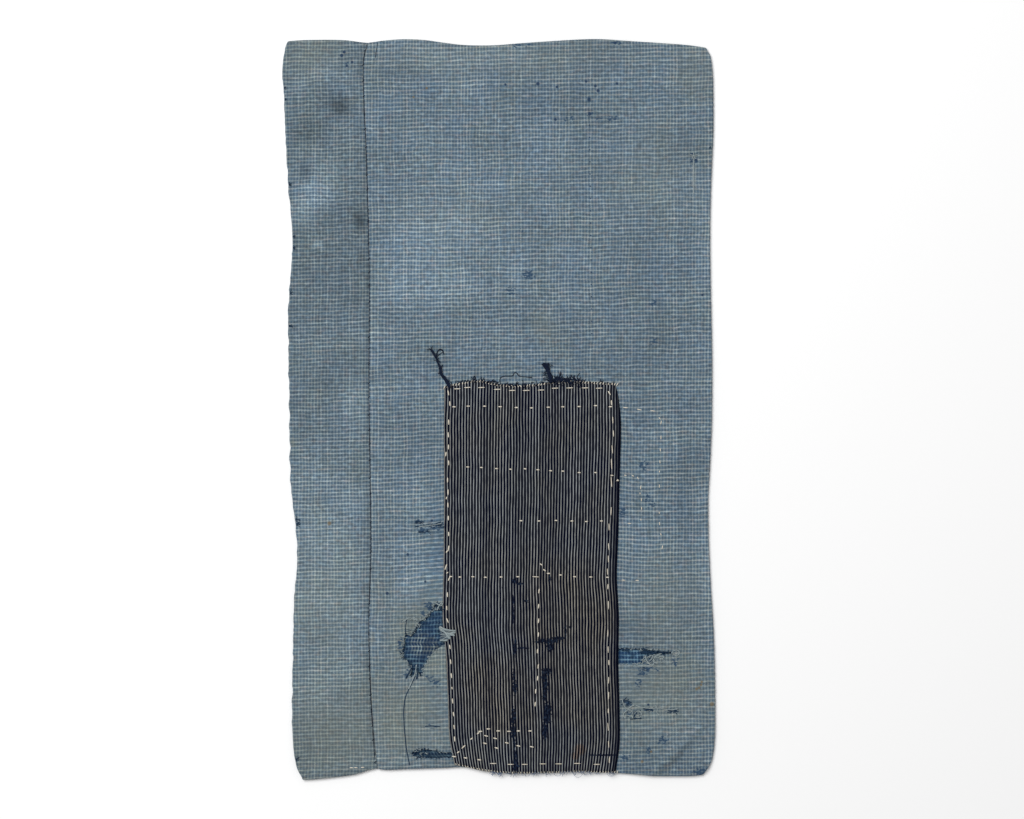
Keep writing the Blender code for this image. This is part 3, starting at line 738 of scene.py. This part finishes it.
# Where the cream stripes are worn away: (right, up, half width, half height)
PATCH_WORN = (
    (11.8, -128.5, 2, 2.4), (15.6, -130.6, 2.6, 1), (10.9, -143, 0.6, 3.6), (10.9, -154, 0.45, 7),
    (20.5, -143.4, 2, 0.7), (12.6, -174, 1, 2.4), (12, -180, 1.4, 5), (17.5, -178.8, 4, 0.7),
    (11.2, -200, 0.8, 6), (12, -208.4, 1.5, 5), (11, -231, 1.7, 7), (11, -241, 2.2, 5),
    (11.8, -251, 0.8, 4), (12.4, -259, 1.1, 4), (12.8, -266.5, 2.3, 5.6), (38, -127, 1, 3),
    (36.8, -173.6, 9.4, 2), (44.6, -171.6, 5, 1.3), (50, -166.8, 0.9, 4.6), (53.6, -163.4, 1, 1),
    (38.6, -178, 2.6, 3.2), (35.6, -196.6, 3.3, 2.6), (33.8, -200.4, 2.2, 2.2), (35, -206, 2.1, 6),
    (34.4, -214.6, 1.4, 5.6), (36.8, -224.6, 2.8, 4.6), (36.2, -231, 2.9, 4.6), (34.4, -241, 2.1, 6.6),
    (78, -259.1, 11, 0.7),
)
f = Finish("striped_cotton", 0.95, 0)
f.shader.inputs["Specular IOR Level"].default_value = 0.02
weave = f.drifting(f.node("UVMap", uv_map="weave").outputs[0], (0.016, 0.026, 1), 2, (1.5 * MM, 0, 0))
across, up, _ = f.node("SeparateXYZ", weave).outputs
stripe, cream = f.lines(across, STRIPE_STEP * MM, 0.30, 0.07)
cream = f.times(cream, f.ramp(f.chance(stripe, 21.5), 0, 1, 0.62, 1.05))
cream = f.times(cream, f.ramp(f.cloudy(weave, (0.003, 0.008, 1), 3), 0.3, 0.65, 0.55, 1.1))
here = f.node("TexCoord").outputs["Object"]
bare = 0
for x, y, half_width, half_height in PATCH_WORN:
    off = f.vector("ADD", here, (-x * MM, -y * MM, 0))
    off = f.vector("MULTIPLY", off, (1000 / half_width, 1000 / half_height, 0))
    bare = f.maths("MAXIMUM", f.ramp(f.vector("LENGTH", off, result="Value"), 1.7, 0.3, 0, 1), bare)
ragged = f.times(f.cloudy(weave, (0.0011, 0.0022, 1)), 2.4)
bare = f.ramp(f.maths("ADD", bare, ragged), 1.55, 1.85, 0, 0.94)
cream = f.times(cream, f.maths("SUBTRACT", 1, bare))
cream = f.times(cream, f.ramp(across, *SELVEDGE, 1, 0.06))
fuzz = f.ramp(f.cloudy(weave, (0.0012, 0.0020, 1), 3), 0.45, 0.70, 0, 0.9)
colour = f.blend(cream, f.blend(f.times(bare, fuzz), STRIPE_NAVY, FUZZ_BLUE), STRIPE_CREAM)
colour = f.tinted(f.ramp(f.cloudy(weave, (0.030, 0.045, 1), 3), 0.4, 0.7, 0, 0.5), colour, STRIPE_TINT)
colour = f.tinted(f.times(f.spots(AGED_SPOTS), 0.45), colour, AGED_TINT)
colour = f.blend(f.ramp(across, *TURNED_UNDER, 0, 0.7), colour, EDGE_TAN)
colour = f.tinted(f.times(f.spots(STAIN_SPOTS), 0.8), colour, STAIN_TINT)
# Each pick is painted darker at its sides and lighter along its crest, painted shade and highlight of its
# rounded profile, as well as raised in the relief
_, pick_round = f.lines(up, PICK, 0.5, 0.4)
colour = f.tinted(1, colour, f.ramp(pick_round, 0, 1, 0.8, 1.1))
striped_cotton = f.finished(colour, f.maths("ADD", pick_round, f.times(cream, 0.8)), WEAVE_RELIEF)
patch = finish_sheet("striped_patch_cloth", patch_bm, PATCH_THICKNESS, striped_cotton)
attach(patch, "root")
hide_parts("striped_patch")

# Running stitches: thick undyed cotton thread, in short stitches over the patch and in a few longer lines
# on the cloth beside it. Each shows as a small plump bar whose ends go down into the cloth.
CLOTH_STITCHES = (
    (-8, 4.2, ((95.1, 1.4), (105.5, -0.1), (115.6, -1))), (-48, 2.2, ((120.7, -6.6),)),
    (84, 3.4, ((121.8, -9.8), (121.7, -20.9), (106.5, -58.4), (122.7, -103.4))),
    (90, 2.8, ((121.2, -30.3), (120.9, -39.2), (120.5, -57.5), (120.6, -85.6), (107, -67.7),
        (107.2, -74.2))),
    (90, 1.8, ((120.5, -46.6), (120.4, -77.5), (106.7, -82.7), (106, -63))),
    (-60, 2.2, ((121.6, -93.7), (104.4, -51.5))), (-14, 2.2, ((95, -49.4), (100.7, -49.8))),
    (0, 3, ((98.1, -85.5), (93.6, -128), (103.9, -128.2), (-110.5, -268.7), (-107.1, -268.6),
        (-102.1, -268.4))),
)
LONG_STITCH = 5.3
KNOT, KNOT_LOOP, KNOT_LEVEL = (89.1, -53.2), (89.3, -53), 4.2
THREAD_DARK, THREAD_LIGHT = (0.50, 0.44, 0.34, 1), (0.80, 0.75, 0.64, 1)
YARN_RELIEF = 0.1 * MM
f = Finish("undyed_thread", 0.8, 0.2)
here = f.node("TexCoord").outputs["Object"]
twist = f.node("TexWave", f.stretched(here, (0.004,) * 3), 1, 6, wave_type="BANDS",
               bands_direction="DIAGONAL").outputs[1]
colour = f.blend(f.cloudy(here, (0.004,) * 3), THREAD_DARK, THREAD_LIGHT)
undyed_thread = f.finished(colour, twist, YARN_RELIEF)


def sewing(name, stitches, material, lift):
    """Stitches as one piece: rows of (right, up, turned by degrees, length, width, face's height)."""
    bm = bmesh.new()
    for x, y, turn, length, width, base in stitches:
        shape = Matrix.Diagonal((length * MM, width * MM, 0.6 * width * MM, 1))
        place = Matrix.Translation(Vector((x, y, base + lift)) * MM)
        place = place @ Matrix.Rotation(math.radians(turn), 4, "Z")
        made = bmesh.ops.create_icosphere(bm, subdivisions=2, radius=0.5, matrix=place @ shape)
        middle = Vector((x, y)) * MM
        for vertex in made["verts"]:
            away = (vertex.co.xy - middle).length / (length * MM / 2)
            vertex.co.z -= 0.3 * MM * away**2
    return formed(name, bm, material)


rows = []
for x, y, turn, length in patch_stitches:
    width, above = (0.7, 0.3) if length > LONG_STITCH else (0.95, 0.05)
    rows.append((x, y, turn, length, width, patch_height(x, y) + above))
for turn, length, places in CLOTH_STITCHES:
    rows += [(x, y, turn + uniform(-6, 6), length, 0.7, face_height(x, y)) for x, y in places]
rows += [(*KNOT, 20, 2, 1, patch_height(*KNOT)), (*KNOT_LOOP, -50, 1.8, 0.9, KNOT_LEVEL)]
running_stitches = sewing("running_stitches", rows, undyed_thread, 0.2)
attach(running_stitches, "root")

# Raw ends of the patch: each cream stripe's cut yarns lean over as a short tick along the upper and the
# lower edge.
STRIPES, FIRST_STRIPE, FIRST_LOW_TICK = 60, -40.6, -33
ends = []
for k in range(STRIPES):
    x = FIRST_STRIPE + STRIPE_STEP * k + uniform(-0.3, 0.3)
    high, low = along(PATCH_TOP, x) - 0.9, along(PATCH_BOTTOM, x) + 0.8
    lean = (128 if 6 < x < 20 else 66) + uniform(-16, 16)
    ends.append((x, high, lean, uniform(2.2, 3.2), 0.7, patch_height(x, high, 1)))
    if x > FIRST_LOW_TICK:
        lean = mix(118, 68, (x - FIRST_LOW_TICK) / 120) + uniform(-12, 12)
        ends.append((x, low, lean, uniform(1.8, 2.8), 0.6, patch_height(x, low, 1)))
raw_ends = sewing("raw_stripe_ends", ends, undyed_thread, 0.1)
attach(raw_ends, "root")

# Seam thread: dark indigo thread that draws the two folded edges together along the front seam. It shows
# as a thin line sunk between them, with a small stitch here and there that crosses it.
TUCK = ((-90.8, 275), (-91.4, 272), (-92, 268), (-92.6, 264))


def yarn_finish(name, sheen, dark, light, mottle=3 * MM):
    """Soft yarn whose colour wanders between two tones, over patches of one size."""
    f = Finish(name, 0.9, sheen)
    here = f.node("TexCoord").outputs["Object"]
    colour = f.blend(f.cloudy(here, (mottle,) * 3), dark, light)
    return f.finished(colour, f.cloudy(here, (0.5 * MM,) * 3), YARN_RELIEF)


navy_yarn = yarn_finish("navy_yarn", 0, (0.0030, 0.0055, 0.016, 1), (0.010, 0.018, 0.042, 1))


def yarns(name, routes, material):
    """Loose yarns as one piece: each route is a thickness and the places (right, up, height) it passes."""
    curve = bpy.data.curves.new(name, "CURVE")
    curve.dimensions = "3D"
    curve.bevel_depth = MM / 2
    curve.bevel_resolution = 0
    curve.resolution_u = 3
    curve.use_fill_caps = True
    for thickness, places in routes:
        spline = curve.splines.new("NURBS")
        spline.points.add(len(places) - 1)
        spline.order_u = 3
        spline.use_endpoint_u = True
        for point, (x, y, z) in zip(spline.points, places):
            point.co = (x * MM, y * MM, z * MM, 1)
            point.radius = thickness
    curve.materials.append(material)
    return placed(name, curve)


def on_face(places, above=0.0):
    """Places (right, up) as a route that follows the front's face."""
    return [(x, y, face_height(x, y) + above) for x, y in places]


seam_routes = [(0.65, on_face([(along(FRONT_SEAM, y), y) for y in range(-266, 275, 5)], -0.05))]
for k in range(46):
    y = -262 + 11.8 * k + uniform(-2.5, 2.5)
    x, half = along(FRONT_SEAM, y), uniform(0.5, 1)
    start = (x - half, y - 0.7, face_height(x - half, y) + 0.1)
    last = (x + half, y + 0.7, face_height(x + half, y) + 0.1)
    seam_routes.append((0.45, [start, (x, y, face_height(x, y) + 0.4), last]))
seam_routes.append((0.5, on_face(TUCK)))
seam_thread = yarns("seam_thread", seam_routes, navy_yarn)
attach(seam_thread, "root")

# Frayed navy yarns: warp that has come out of the patch's raw upper edge, as a long lock at its left
# corner, a thick short one right of the middle, and thin loops and fuzz between them.
CORNER_LOCK = (
    (-36.8, 16.5), (-38.2, 20), (-40.8, 23.4), (-43.6, 26.6), (-43.8, 31), (-45.8, 35.6), (-47, 39.5),
    (-50.4, 44.6),
)
LOCK_LOOP = ((-46.5, 39), (-46.6, 43), (-44, 45.6), (-41.6, 44), (-41.4, 41.6))
LOCK_STRAND = ((-46.5, 39), (-44, 42), (-41.6, 43.4))
TOP_LOCK = ((39.2, 21.5), (38.8, 24), (37.6, 27), (36, 31), (35, 33.4))
EDGE_LOOP = (
    (1.2, 19.5), (0, 22.4), (2.4, 25.1), (8, 25.2), (11, 25.4), (11.6, 28), (13.6, 27.6), (15, 24.8),
    (20, 24.6), (25, 24),
)

# Stretches of the upper edge with fuzz: (from, to, how many yarns, how far they reach)
FUZZ_STRETCHES = (
    (-30, -4, 40, 2.2), (-4, 22, 44, 1.9), (22, 38, 14, 1.7), (38, 46, 24, 3.4), (46, 52, 22, 4),
    (52, 60, 18, 3.4), (60, 86, 14, 1.6), (-40, -28, 10, 1.6),
)


def top_of(x, y):
    """Height of whatever lies uppermost, the front or the patch."""
    across = along(PATCH_LEFT, y) < x < along(PATCH_RIGHT, y)
    on_patch = across and along(PATCH_BOTTOM, x) < y < along(PATCH_TOP, x)
    return patch_height(x, y) if on_patch else face_height(x, y)


def laid(places, above, spread=0):
    """Places (right, up) as a route a little above the cloth, moved about by up to a spread."""
    moved = [(x + uniform(-spread, spread), y + uniform(-spread, spread)) for x, y in places]
    return [(x, y, top_of(x, y) + above + uniform(0, 0.3)) for x, y in moved]


def strands(count, thickness, places, above, spread):
    """Yarns that lie side by side along the same places."""
    return [(thickness, laid(places, above, spread)) for _ in range(count)]


def stray(x, y, heading, length, curl, above=0.25):
    """A yarn's route from a place in a heading, in degrees, turning at random as it goes."""
    places = [(x, y)]
    for _ in range(4):
        heading += uniform(-curl, curl)
        x += length / 4 * math.cos(math.radians(heading))
        y += length / 4 * math.sin(math.radians(heading))
        places.append((x, y))
    return laid(places, above)


fray = strands(11, 0.75, CORNER_LOCK, 0.7, 0.65) + strands(8, 0.75, CORNER_LOCK[:5], 0.9, 1)
for _ in range(50):
    place = choice(CORNER_LOCK[1:])
    fray.append((0.4, stray(*place, uniform(60, 160), uniform(1.5, 4), 50, 0.9)))
fray += strands(2, 0.5, LOCK_LOOP, 0.6, 0.3) + strands(1, 0.4, LOCK_STRAND, 0.6, 0.4)
fray += [(0.85, laid(TOP_LOCK, uniform(0.4, 1.8), 1.3)) for _ in range(34)]
for side in (-1.3, -0.7, 0, 0.7, 1.3):
    fray += strands(4, 0.85, ((37.4, 27.4), (35.8 + side, 31), (34.8 + 1.5 * side, 34.4)), 1.2, 0.7)
for _ in range(40):
    fray.append((0.4, stray(uniform(34, 39), uniform(23, 34.5), uniform(0, 360), 2.4, 50, 1.2)))
fray += strands(2, 0.45, EDGE_LOOP, 0.4, 0.15)
for first, last, count, reach in FUZZ_STRETCHES:
    for _ in range(2 * count if reach > 3 else count):
        x = uniform(first, last)
        heading = choice((uniform(20, 160), uniform(-20, 20), uniform(160, 200)))
        thickness, y = uniform(0.3, 0.55), along(PATCH_TOP, x) + uniform(-0.8, 0.3 + 0.4 * reach)
        fray.append((thickness, stray(x, y, heading, uniform(1.5, 1.8 * reach), 50)))
navy_locks = yarns("frayed_navy_yarns", fray, navy_yarn)
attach(navy_locks, "root")

# Blue fringe: thin yarns of the patch's raw lower edge, most of them straight and short, with a few loops.
# Past the cloth's own edge they lie just above the surface.
FRINGE_LOOPS = ((59.5, 3.4), (84, 2.6), (44, 2.4), (66, 2.2))
LOWEST = 0.4
fringe = []
for _ in range(90):
    x = uniform(-6, 88)
    y = along(PATCH_BOTTOM, x) + uniform(0, 0.8)
    fringe.append((uniform(0.2, 0.35), stray(x, y, uniform(-150, -30), uniform(1.5, 4), 60)))
for x, size in FRINGE_LOOPS:
    y = along(PATCH_BOTTOM, x) + 0.6
    loop = [(x - size, y), (x - 1.1 * size, y - 0.8 * size), (x, y - 1.5 * size),
            (x + 1.2 * size, y - 0.8 * size), (x + size, y)]
    fringe += strands(1, 0.25, loop, 0.2, 0.3)
fringe = [(thickness, [(x, y, max(z, LOWEST)) for x, y, z in route]) for thickness, route in fringe]
blue_yarn = yarn_finish("blue_yarn", 0.2, (0.035, 0.07, 0.15, 1), (0.14, 0.20, 0.31, 1))
blue_fringe = yarns("thin_blue_fringe", fringe, blue_yarn)
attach(blue_fringe, "root")

# Fuzz of the worn stripes: ends of navy yarn that stand out of the patch where its cream stripes are worn
# away, short and dark.
scuffs = []
for x, y, half_width, half_height in PATCH_WORN[:-1]:
    for _ in range(max(round(0.8 * half_width * half_height), 3)):
        at = (x + uniform(-1, 1) * half_width, y + uniform(-1, 1) * half_height)
        scuffs.append((uniform(0.25, 0.5), stray(*at, uniform(0, 360), uniform(0.8, 2), 60, 0.1)))
stripe_fuzz = yarns("worn_stripe_fuzz", scuffs, navy_yarn)
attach(stripe_fuzz, "root")

# Broken pale yarns of the worn main cloth: a fuzzy rim round the tears, curls and loops that were drawn
# out of them, and a pale shred pulled over the patch's left edge.
FLAP_TOP = ((-70.4, -158.6), (-68.6, -156.4), (-64.6, -156), (-61, -157.4))
TEAR_LOOP = (
    (-47.6, -145.4), (-45, -146.6), (-43.2, -147.8), (-41.8, -145.6), (-43.4, -144.6), (-45, -147.6),
    (-46.2, -150.8),
)
SLIT_YARN = ((-61.9, -191.6), (-62.2, -196), (-63.2, -200), (-65.4, -204.6), (-67.6, -209.4))
END_LOOP = ((129.6, -183), (130.6, -180.6), (134.2, -180.2), (136, -182.6), (134, -184.8), (130.8, -184))
CURL_TAIL = ((108.9, -188), (112, -191), (116.4, -192.4))
SHRED_EDGE = ((-44.3, -162.6), (-41.4, -165.2), (-36, -165.6), (-32.4, -165.6))
LONG_PALE = ((146.2, 189), (146, 180), (146.4, 170), (146.2, 162))
LONG_PALE_KNOT = (146.2, 190.5)

# Yarns of the shred: (first place, second, third, how many)
SHRED = (
    ((-44.2, -163.2), (-40.4, -165.2), (-32.6, -166.2), 9),
    ((-44, -164.6), (-39.4, -168), (-33.6, -169), 5),
    ((-43.6, -163.6), (-38.6, -168.6), (-36.6, -171.6), 7),
    ((-43.2, -172.8), (-40.2, -171.2), (-36.8, -168.6), 3),
    ((-43.6, -173.2), (-41, -173.6), (-38.8, -172.6), 7),
    ((-42.8, -168.4), (-38.6, -168.4), (-33, -167), 4),
)

# Curls at the right tear, and loose yarns below it and left of the patch
TEAR_CURLS = (
    ((109.6, -184.6), (110.4, -187.6), (112.4, -190.2), (115, -191.8), (116.8, -190.4)),
    ((121.6, -183.4), (119.2, -183.6), (117, -185.6), (116.2, -188.2), (117, -190.2), (119, -190.2)),
    ((119.6, -186.6), (121.4, -185), (123.8, -185.4), (123.4, -187.2), (121.2, -187.2)),
    ((112.2, -186), (113.6, -184.2), (115.6, -184.4), (115.4, -186.6), (113.4, -188.4)),
)
LOOSE_CURLS = (
    ((92.6, -217.2), (93.4, -221), (96, -224.4), (99.6, -225.8), (101, -228.6), (100.2, -231.6)),
    ((101.4, -221.8), (98.8, -222.8), (97.2, -225.2), (94.2, -226.8), (93, -229.8), (95.2, -231.8)),
    ((102, -228.4), (103.4, -226), (106.4, -226.6), (107.2, -229.6), (105, -231.6), (102.6, -230.8)),
    ((117.4, -221.8), (119.4, -224.4), (118.4, -227.6), (121, -229.6)),
    ((103, -222), (110, -224.6), (120, -223.6), (128, -226), (134, -224.6)),
    ((-60, -87.8), (-50, -87), (-42.6, -85.2)),
)


def rim(outline, first, last, count, spread, longest):
    """Short broken yarns along a stretch of a tear's outline, from its point first to its point last."""
    routes = []
    for _ in range(count):
        place = uniform(first, last)
        k, share = int(place) % len(outline), place % 1
        (x0, y0), (x1, y1) = outline[k], outline[(k + 1) % len(outline)]
        x = mix(x0, x1, share) + uniform(-spread, spread)
        y = mix(y0, y1, share) + uniform(-spread, spread)
        heading = math.degrees(math.atan2(y1 - y0, x1 - x0)) + uniform(-60, 60)
        routes.append((uniform(0.28, 0.5), stray(x, y, heading, uniform(1.2, longest), 60)))
    return routes


pale = []
for outline, first, last, count, spread, longest in (
    (WIDE_TEAR, 21, 26, 46, 2.3, 2.3), (WIDE_TEAR, 5, 9, 26, 0.4, 2), (WIDE_TEAR, 15, 19, 18, 0.4, 2),
    (HEM_TEAR, 0, 5, 8, 0.5, 2.4), (RIGHT_TEAR, 7, 10.5, 22, 0.5, 3), (RIGHT_TEAR, 0.7, 3, 10, 0.5, 2.4),
):
    pale += rim(outline, first, last, count, spread, longest)
pale += strands(1, 0.4, FLAP_TOP, 0.5, 0.5)
for _ in range(24):
    x = uniform(-71, -60)
    y = -156.4 - 0.06 * (x + 65) ** 2 + uniform(-0.8, 0.6)
    pale.append((uniform(0.25, 0.4), stray(x, y, uniform(150, 210), uniform(1.6, 3.4), 45, 0.4)))
pale += strands(2, 0.45, TEAR_LOOP, 0.5, 0.4)
for *places, count in SHRED:
    pale += [(uniform(0.25, 0.55), laid(places, 0.4, 0.7)) for _ in range(count + 2)]
pale += strands(1, 0.8, SHRED_EDGE, 0.8, 0.1)
for k in range(14):
    share = k / 13
    places = [(-44, mix(-163.4, -173, share)), (-39.8, mix(-165.4, -172, share)),
              (mix(-33, -38, share), mix(-166.4, -172.2, share))]
    pale += strands(1, 0.26, places, 0.4, 0.5)
for _ in range(6):
    pale.append((0.32, stray(uniform(-60, -54), uniform(-259, -257), uniform(-30, 30), 2.4, 40, -0.3)))
pale += strands(3, 0.5, SLIT_YARN, 0.3, 0.3)
for places in TEAR_CURLS:
    pale += strands(3, 0.4, places, 0.5, 0.55)
for _ in range(7):
    x, y = uniform(116, 122), uniform(-188, -185)
    pale.append((uniform(0.3, 0.5), stray(x, y, uniform(0, 360), uniform(3, 7), 85, 0.4)))
pale += strands(3, 0.5, END_LOOP, 0.4, 0.3) + strands(1, 0.5, CURL_TAIL, 0.4, 0.2)
for places in LOOSE_CURLS:
    pale += strands(2, 0.45, places, 0.3, 0.4)
pale += strands(1, 0.7, LONG_PALE, 0, 0.2)
pale += [(0.5, stray(*LONG_PALE_KNOT, 72 * k + 20, 3, 10)) for k in range(5)]
pale_yarn = yarn_finish("pale_yarn", 0.2, (0.17, 0.23, 0.26, 1), (0.38, 0.43, 0.42, 1))
pale_yarns = yarns("broken_pale_yarns", pale, pale_yarn)
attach(pale_yarns, "root")

# Broken dark yarns: ends of the inner, unfaded yarns along the tears, in the worn places beside the patch,
# and in the nicks of the side folds. Some stand in for shade as painted shade: a line in the dip left of the
# wide tear's flap, three short ones across its lower folds, and in part those along the tear's left rim.
SLIT_LEFT, SLIT_RIGHT = ((-66, -194), (-67.2, -197.6), (-69.4, -201.6)), (
    (-60.6, -194), (-60.8, -198), (-61.6, -202.4)
)
# The dip left of the flap, where dark strands are painted as its shade, and the flap's right side
FLAP_DIP_SHADE, RIGHT_SIDE = ((-69.2, -157.8), (-69.9, -163), (-70, -168.6)), (
    (-59.6, -159.6), (-61.6, -163.6), (-64.6, -167.4)
)
RIGHT_NICK = (157.5, 196.1)

# Areas of short dark ends: (from, to, low, high, reach, height above the cloth, how many)
DARK_AREAS = (
    (-64, -58, -259, -256.4, 3, -0.6, 6), (-56, -42, -261.2, -260.2, 4, -0.3, 8),
    (90, 97, -180.6, -179.8, 5, 0.1, 9), (103, 113, -182.4, -181.2, 6, 0.15, 15),
    (103, 112, -179.2, -178.2, 5, 0.1, 5), (112, 124, -183.4, -181.6, 5, 0.15, 19),
    (110, 116, -189.6, -185, 3, 0, 6), (-54, -42, -152, -146, 3, -0.2, 16),
    (108, 114, -225.8, -224, 4, 0.1, 8), (126, 132, -227.4, -225.6, 4, 0.1, 8),
    (91, 98, -222, -217.5, 4, 0.1, 14), (94, 106, -232.4, -225.6, 3, 0.1, 16),
    (-61, -54, -92.2, -90.4, 4, 0.1, 12), (-55, -43, -89, -86.2, 4, 0.1, 16),
    (-63, -57, -85.6, -83.8, 3, 0.1, 7), (105, 111, -196.4, -193.4, 2.4, 0, 5),
)

# Longer dark yarns, and the nicks of the left fold, as (height, reach)
DARK_CURLS = (
    ((108.6, -223.9), (112, -225), (115.8, -225.6)), ((126.4, -225.4), (130, -227), (133.4, -226)),
    ((101.2, -231.4), (104, -231.8), (107, -232)), ((-62.6, -84.6), (-59, -83.6), (-56, -84.6)),
    ((-62.6, -87.8), (-57, -87.2), (-52, -87.6)), ((-49, -87), (-46, -84.6), (-43.6, -84.4)),
    ((-55, -237.6), (-50, -237.2), (-44.2, -237.8)),
)
LEFT_NICKS = (
    (241.1, 1.5), (232.1, 1.5), (169.1, 2), (129.4, 1.8), (121.1, 2), (87.8, 2.4), (62.6, 3.2),
    (-83.2, 3.6), (-86.4, 3.6), (-262.3, 3.2),
)
dark = []
# The dark yarns along the wide tear's left rim, its points 15 to 19, are partly broken yarn ends and partly
# painted shade for the shadow its edge casts inside the tear
for outline, first, last, count, spread, longest in (
    (HEM_TEAR, 0, 4, 22, 0.4, 2.2), (HEM_TEAR, 7, 10, 20, 0.4, 2.4), (WIDE_TEAR, 15, 19, 34, 0.4, 2.2),
    (WIDE_TEAR, 21, 26, 9, 1.2, 2), (RIGHT_TEAR, 0.8, 5, 20, 0.4, 2.6),
):
    dark += rim(outline, first, last, count, spread, longest)
# Three short dark strands across the flap's lower folds: painted shade of the folds
for y in (-165.2, -166.8, -168):
    dark += strands(1, 0.3, [(-70.4, y), (-68.4, y + 0.5), (-66, y - 0.4)], 0, 0.25)
for k in range(14):
    share = k / 13
    places = [(-43.8, mix(-164.4, -172.6, share)), (-40, mix(-166.4, -171.6, share)),
              (mix(-33.6, -37.6, share), mix(-168, -172, share))]
    dark += strands(1, 0.6, places, 0.2, 0.4)
dark += strands(5, 0.5, SLIT_LEFT, 0.1, 0.8) + strands(4, 0.5, SLIT_RIGHT, 0.1, 0.5)
# The first strands, in the dip left of the flap, are painted shade of the dip; the second run along the
# flap's right side
dark += strands(2, 0.5, FLAP_DIP_SHADE, 0, 0.2) + strands(2, 0.45, RIGHT_SIDE, 0.1, 0.3)
for first, last, low, high, reach, above, count in DARK_AREAS:
    for _ in range(count):
        thickness, x, y = uniform(0.3, 0.55), uniform(first, last), uniform(low, high)
        dark.append((thickness, stray(x, y, uniform(-18, 14), uniform(0.4, 1) * reach, 26, above)))
for places in DARK_CURLS:
    dark += strands(3, 0.5, places, 0, 0.35)
for y, reach in LEFT_NICKS:
    x = along(LEFT_EDGE, y) + 0.6
    dark += [(0.4, stray(x, y + uniform(-0.8, 0.8), uniform(-30, 30), reach, 40)) for _ in range(5)]
dark += [(0.4, stray(*RIGHT_NICK, uniform(-20, 20), 2, 40)) for _ in range(4)]
unfaded_yarn_and_shade = yarn_finish("unfaded_yarn_and_shade", 0, (0.004, 0.014, 0.036, 1), (0.024, 0.058, 0.110, 1), 2 * MM)
dark_yarns = yarns("dark_yarn_ends_and_shade", dark, unfaded_yarn_and_shade)
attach(dark_yarns, "root")

# Slit below the wide tear: the cloth's right side lies a little over its left there, and the shadow of the
# edge between them is painted as a thin dark yarn down to the hem.
SLIT = (
    (-62.6, -200), (-63.6, -202.4), (-66.2, -207.4), (-68.8, -212.6), (-70.4, -216.9), (-70.9, -221.1),
    (-71.4, -227.4), (-71.1, -233.6), (-70.9, -238.9), (-70.4, -244.1), (-69.3, -254.6), (-67.8, -262.7),
    (-66.6, -266.8),
)
slit = yarns("slit_shadow", [(0.8, on_face(SLIT))], unfaded_yarn_and_shade)
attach(slit, "root")

# Floor, light and camera: a plain pale surface under soft light from above and a little from the upper
# left, and the camera straight above the cloth.
FLOOR_SIZE, FLOOR_LEVEL, FLOOR_COLOUR = 6, -0.0003, (0.975, 0.975, 0.975, 1)
LAMP_PLACE, LAMP_SIZE, LAMP_POWER = (-1.05, 1, 2.2), 1.8, 56.5
SKY_COLOUR, SKY_STRENGTH = (1, 1, 1, 1), 0.46
CAMERA_PLACE, CAMERA_LENS = (0.00994, 0, 1.710), 80
paper = bpy.data.materials.new("pale_floor")
paper.use_nodes = True
paper.node_tree.nodes["Principled BSDF"].inputs["Base Color"].default_value = FLOOR_COLOUR
paper.node_tree.nodes["Principled BSDF"].inputs["Roughness"].default_value = 0.9
floor_bm = bmesh.new()
bmesh.ops.create_grid(floor_bm, x_segments=1, y_segments=1, size=FLOOR_SIZE / 2)
floor = formed("floor", floor_bm, paper)
floor.location.z = FLOOR_LEVEL

lamp_data = bpy.data.lights.new("soft_lamp", "AREA")
lamp_data.shape = "DISK"
lamp_data.size = LAMP_SIZE
lamp_data.energy = LAMP_POWER
lamp = placed("soft_lamp", lamp_data)
lamp.location = LAMP_PLACE
lamp.rotation_euler = (-lamp.location).to_track_quat("-Z", "Y").to_euler()
world = bpy.data.worlds.new("studio")
world.use_nodes = True
world.node_tree.nodes["Background"].inputs["Color"].default_value = SKY_COLOUR
world.node_tree.nodes["Background"].inputs["Strength"].default_value = SKY_STRENGTH
bpy.context.scene.world = world
bpy.context.scene.view_settings.view_transform = "Standard"

camera_data = bpy.data.cameras.new("camera")
camera_data.lens = CAMERA_LENS
camera = placed("camera", camera_data)
camera.location = CAMERA_PLACE
bpy.context.scene.camera = camera
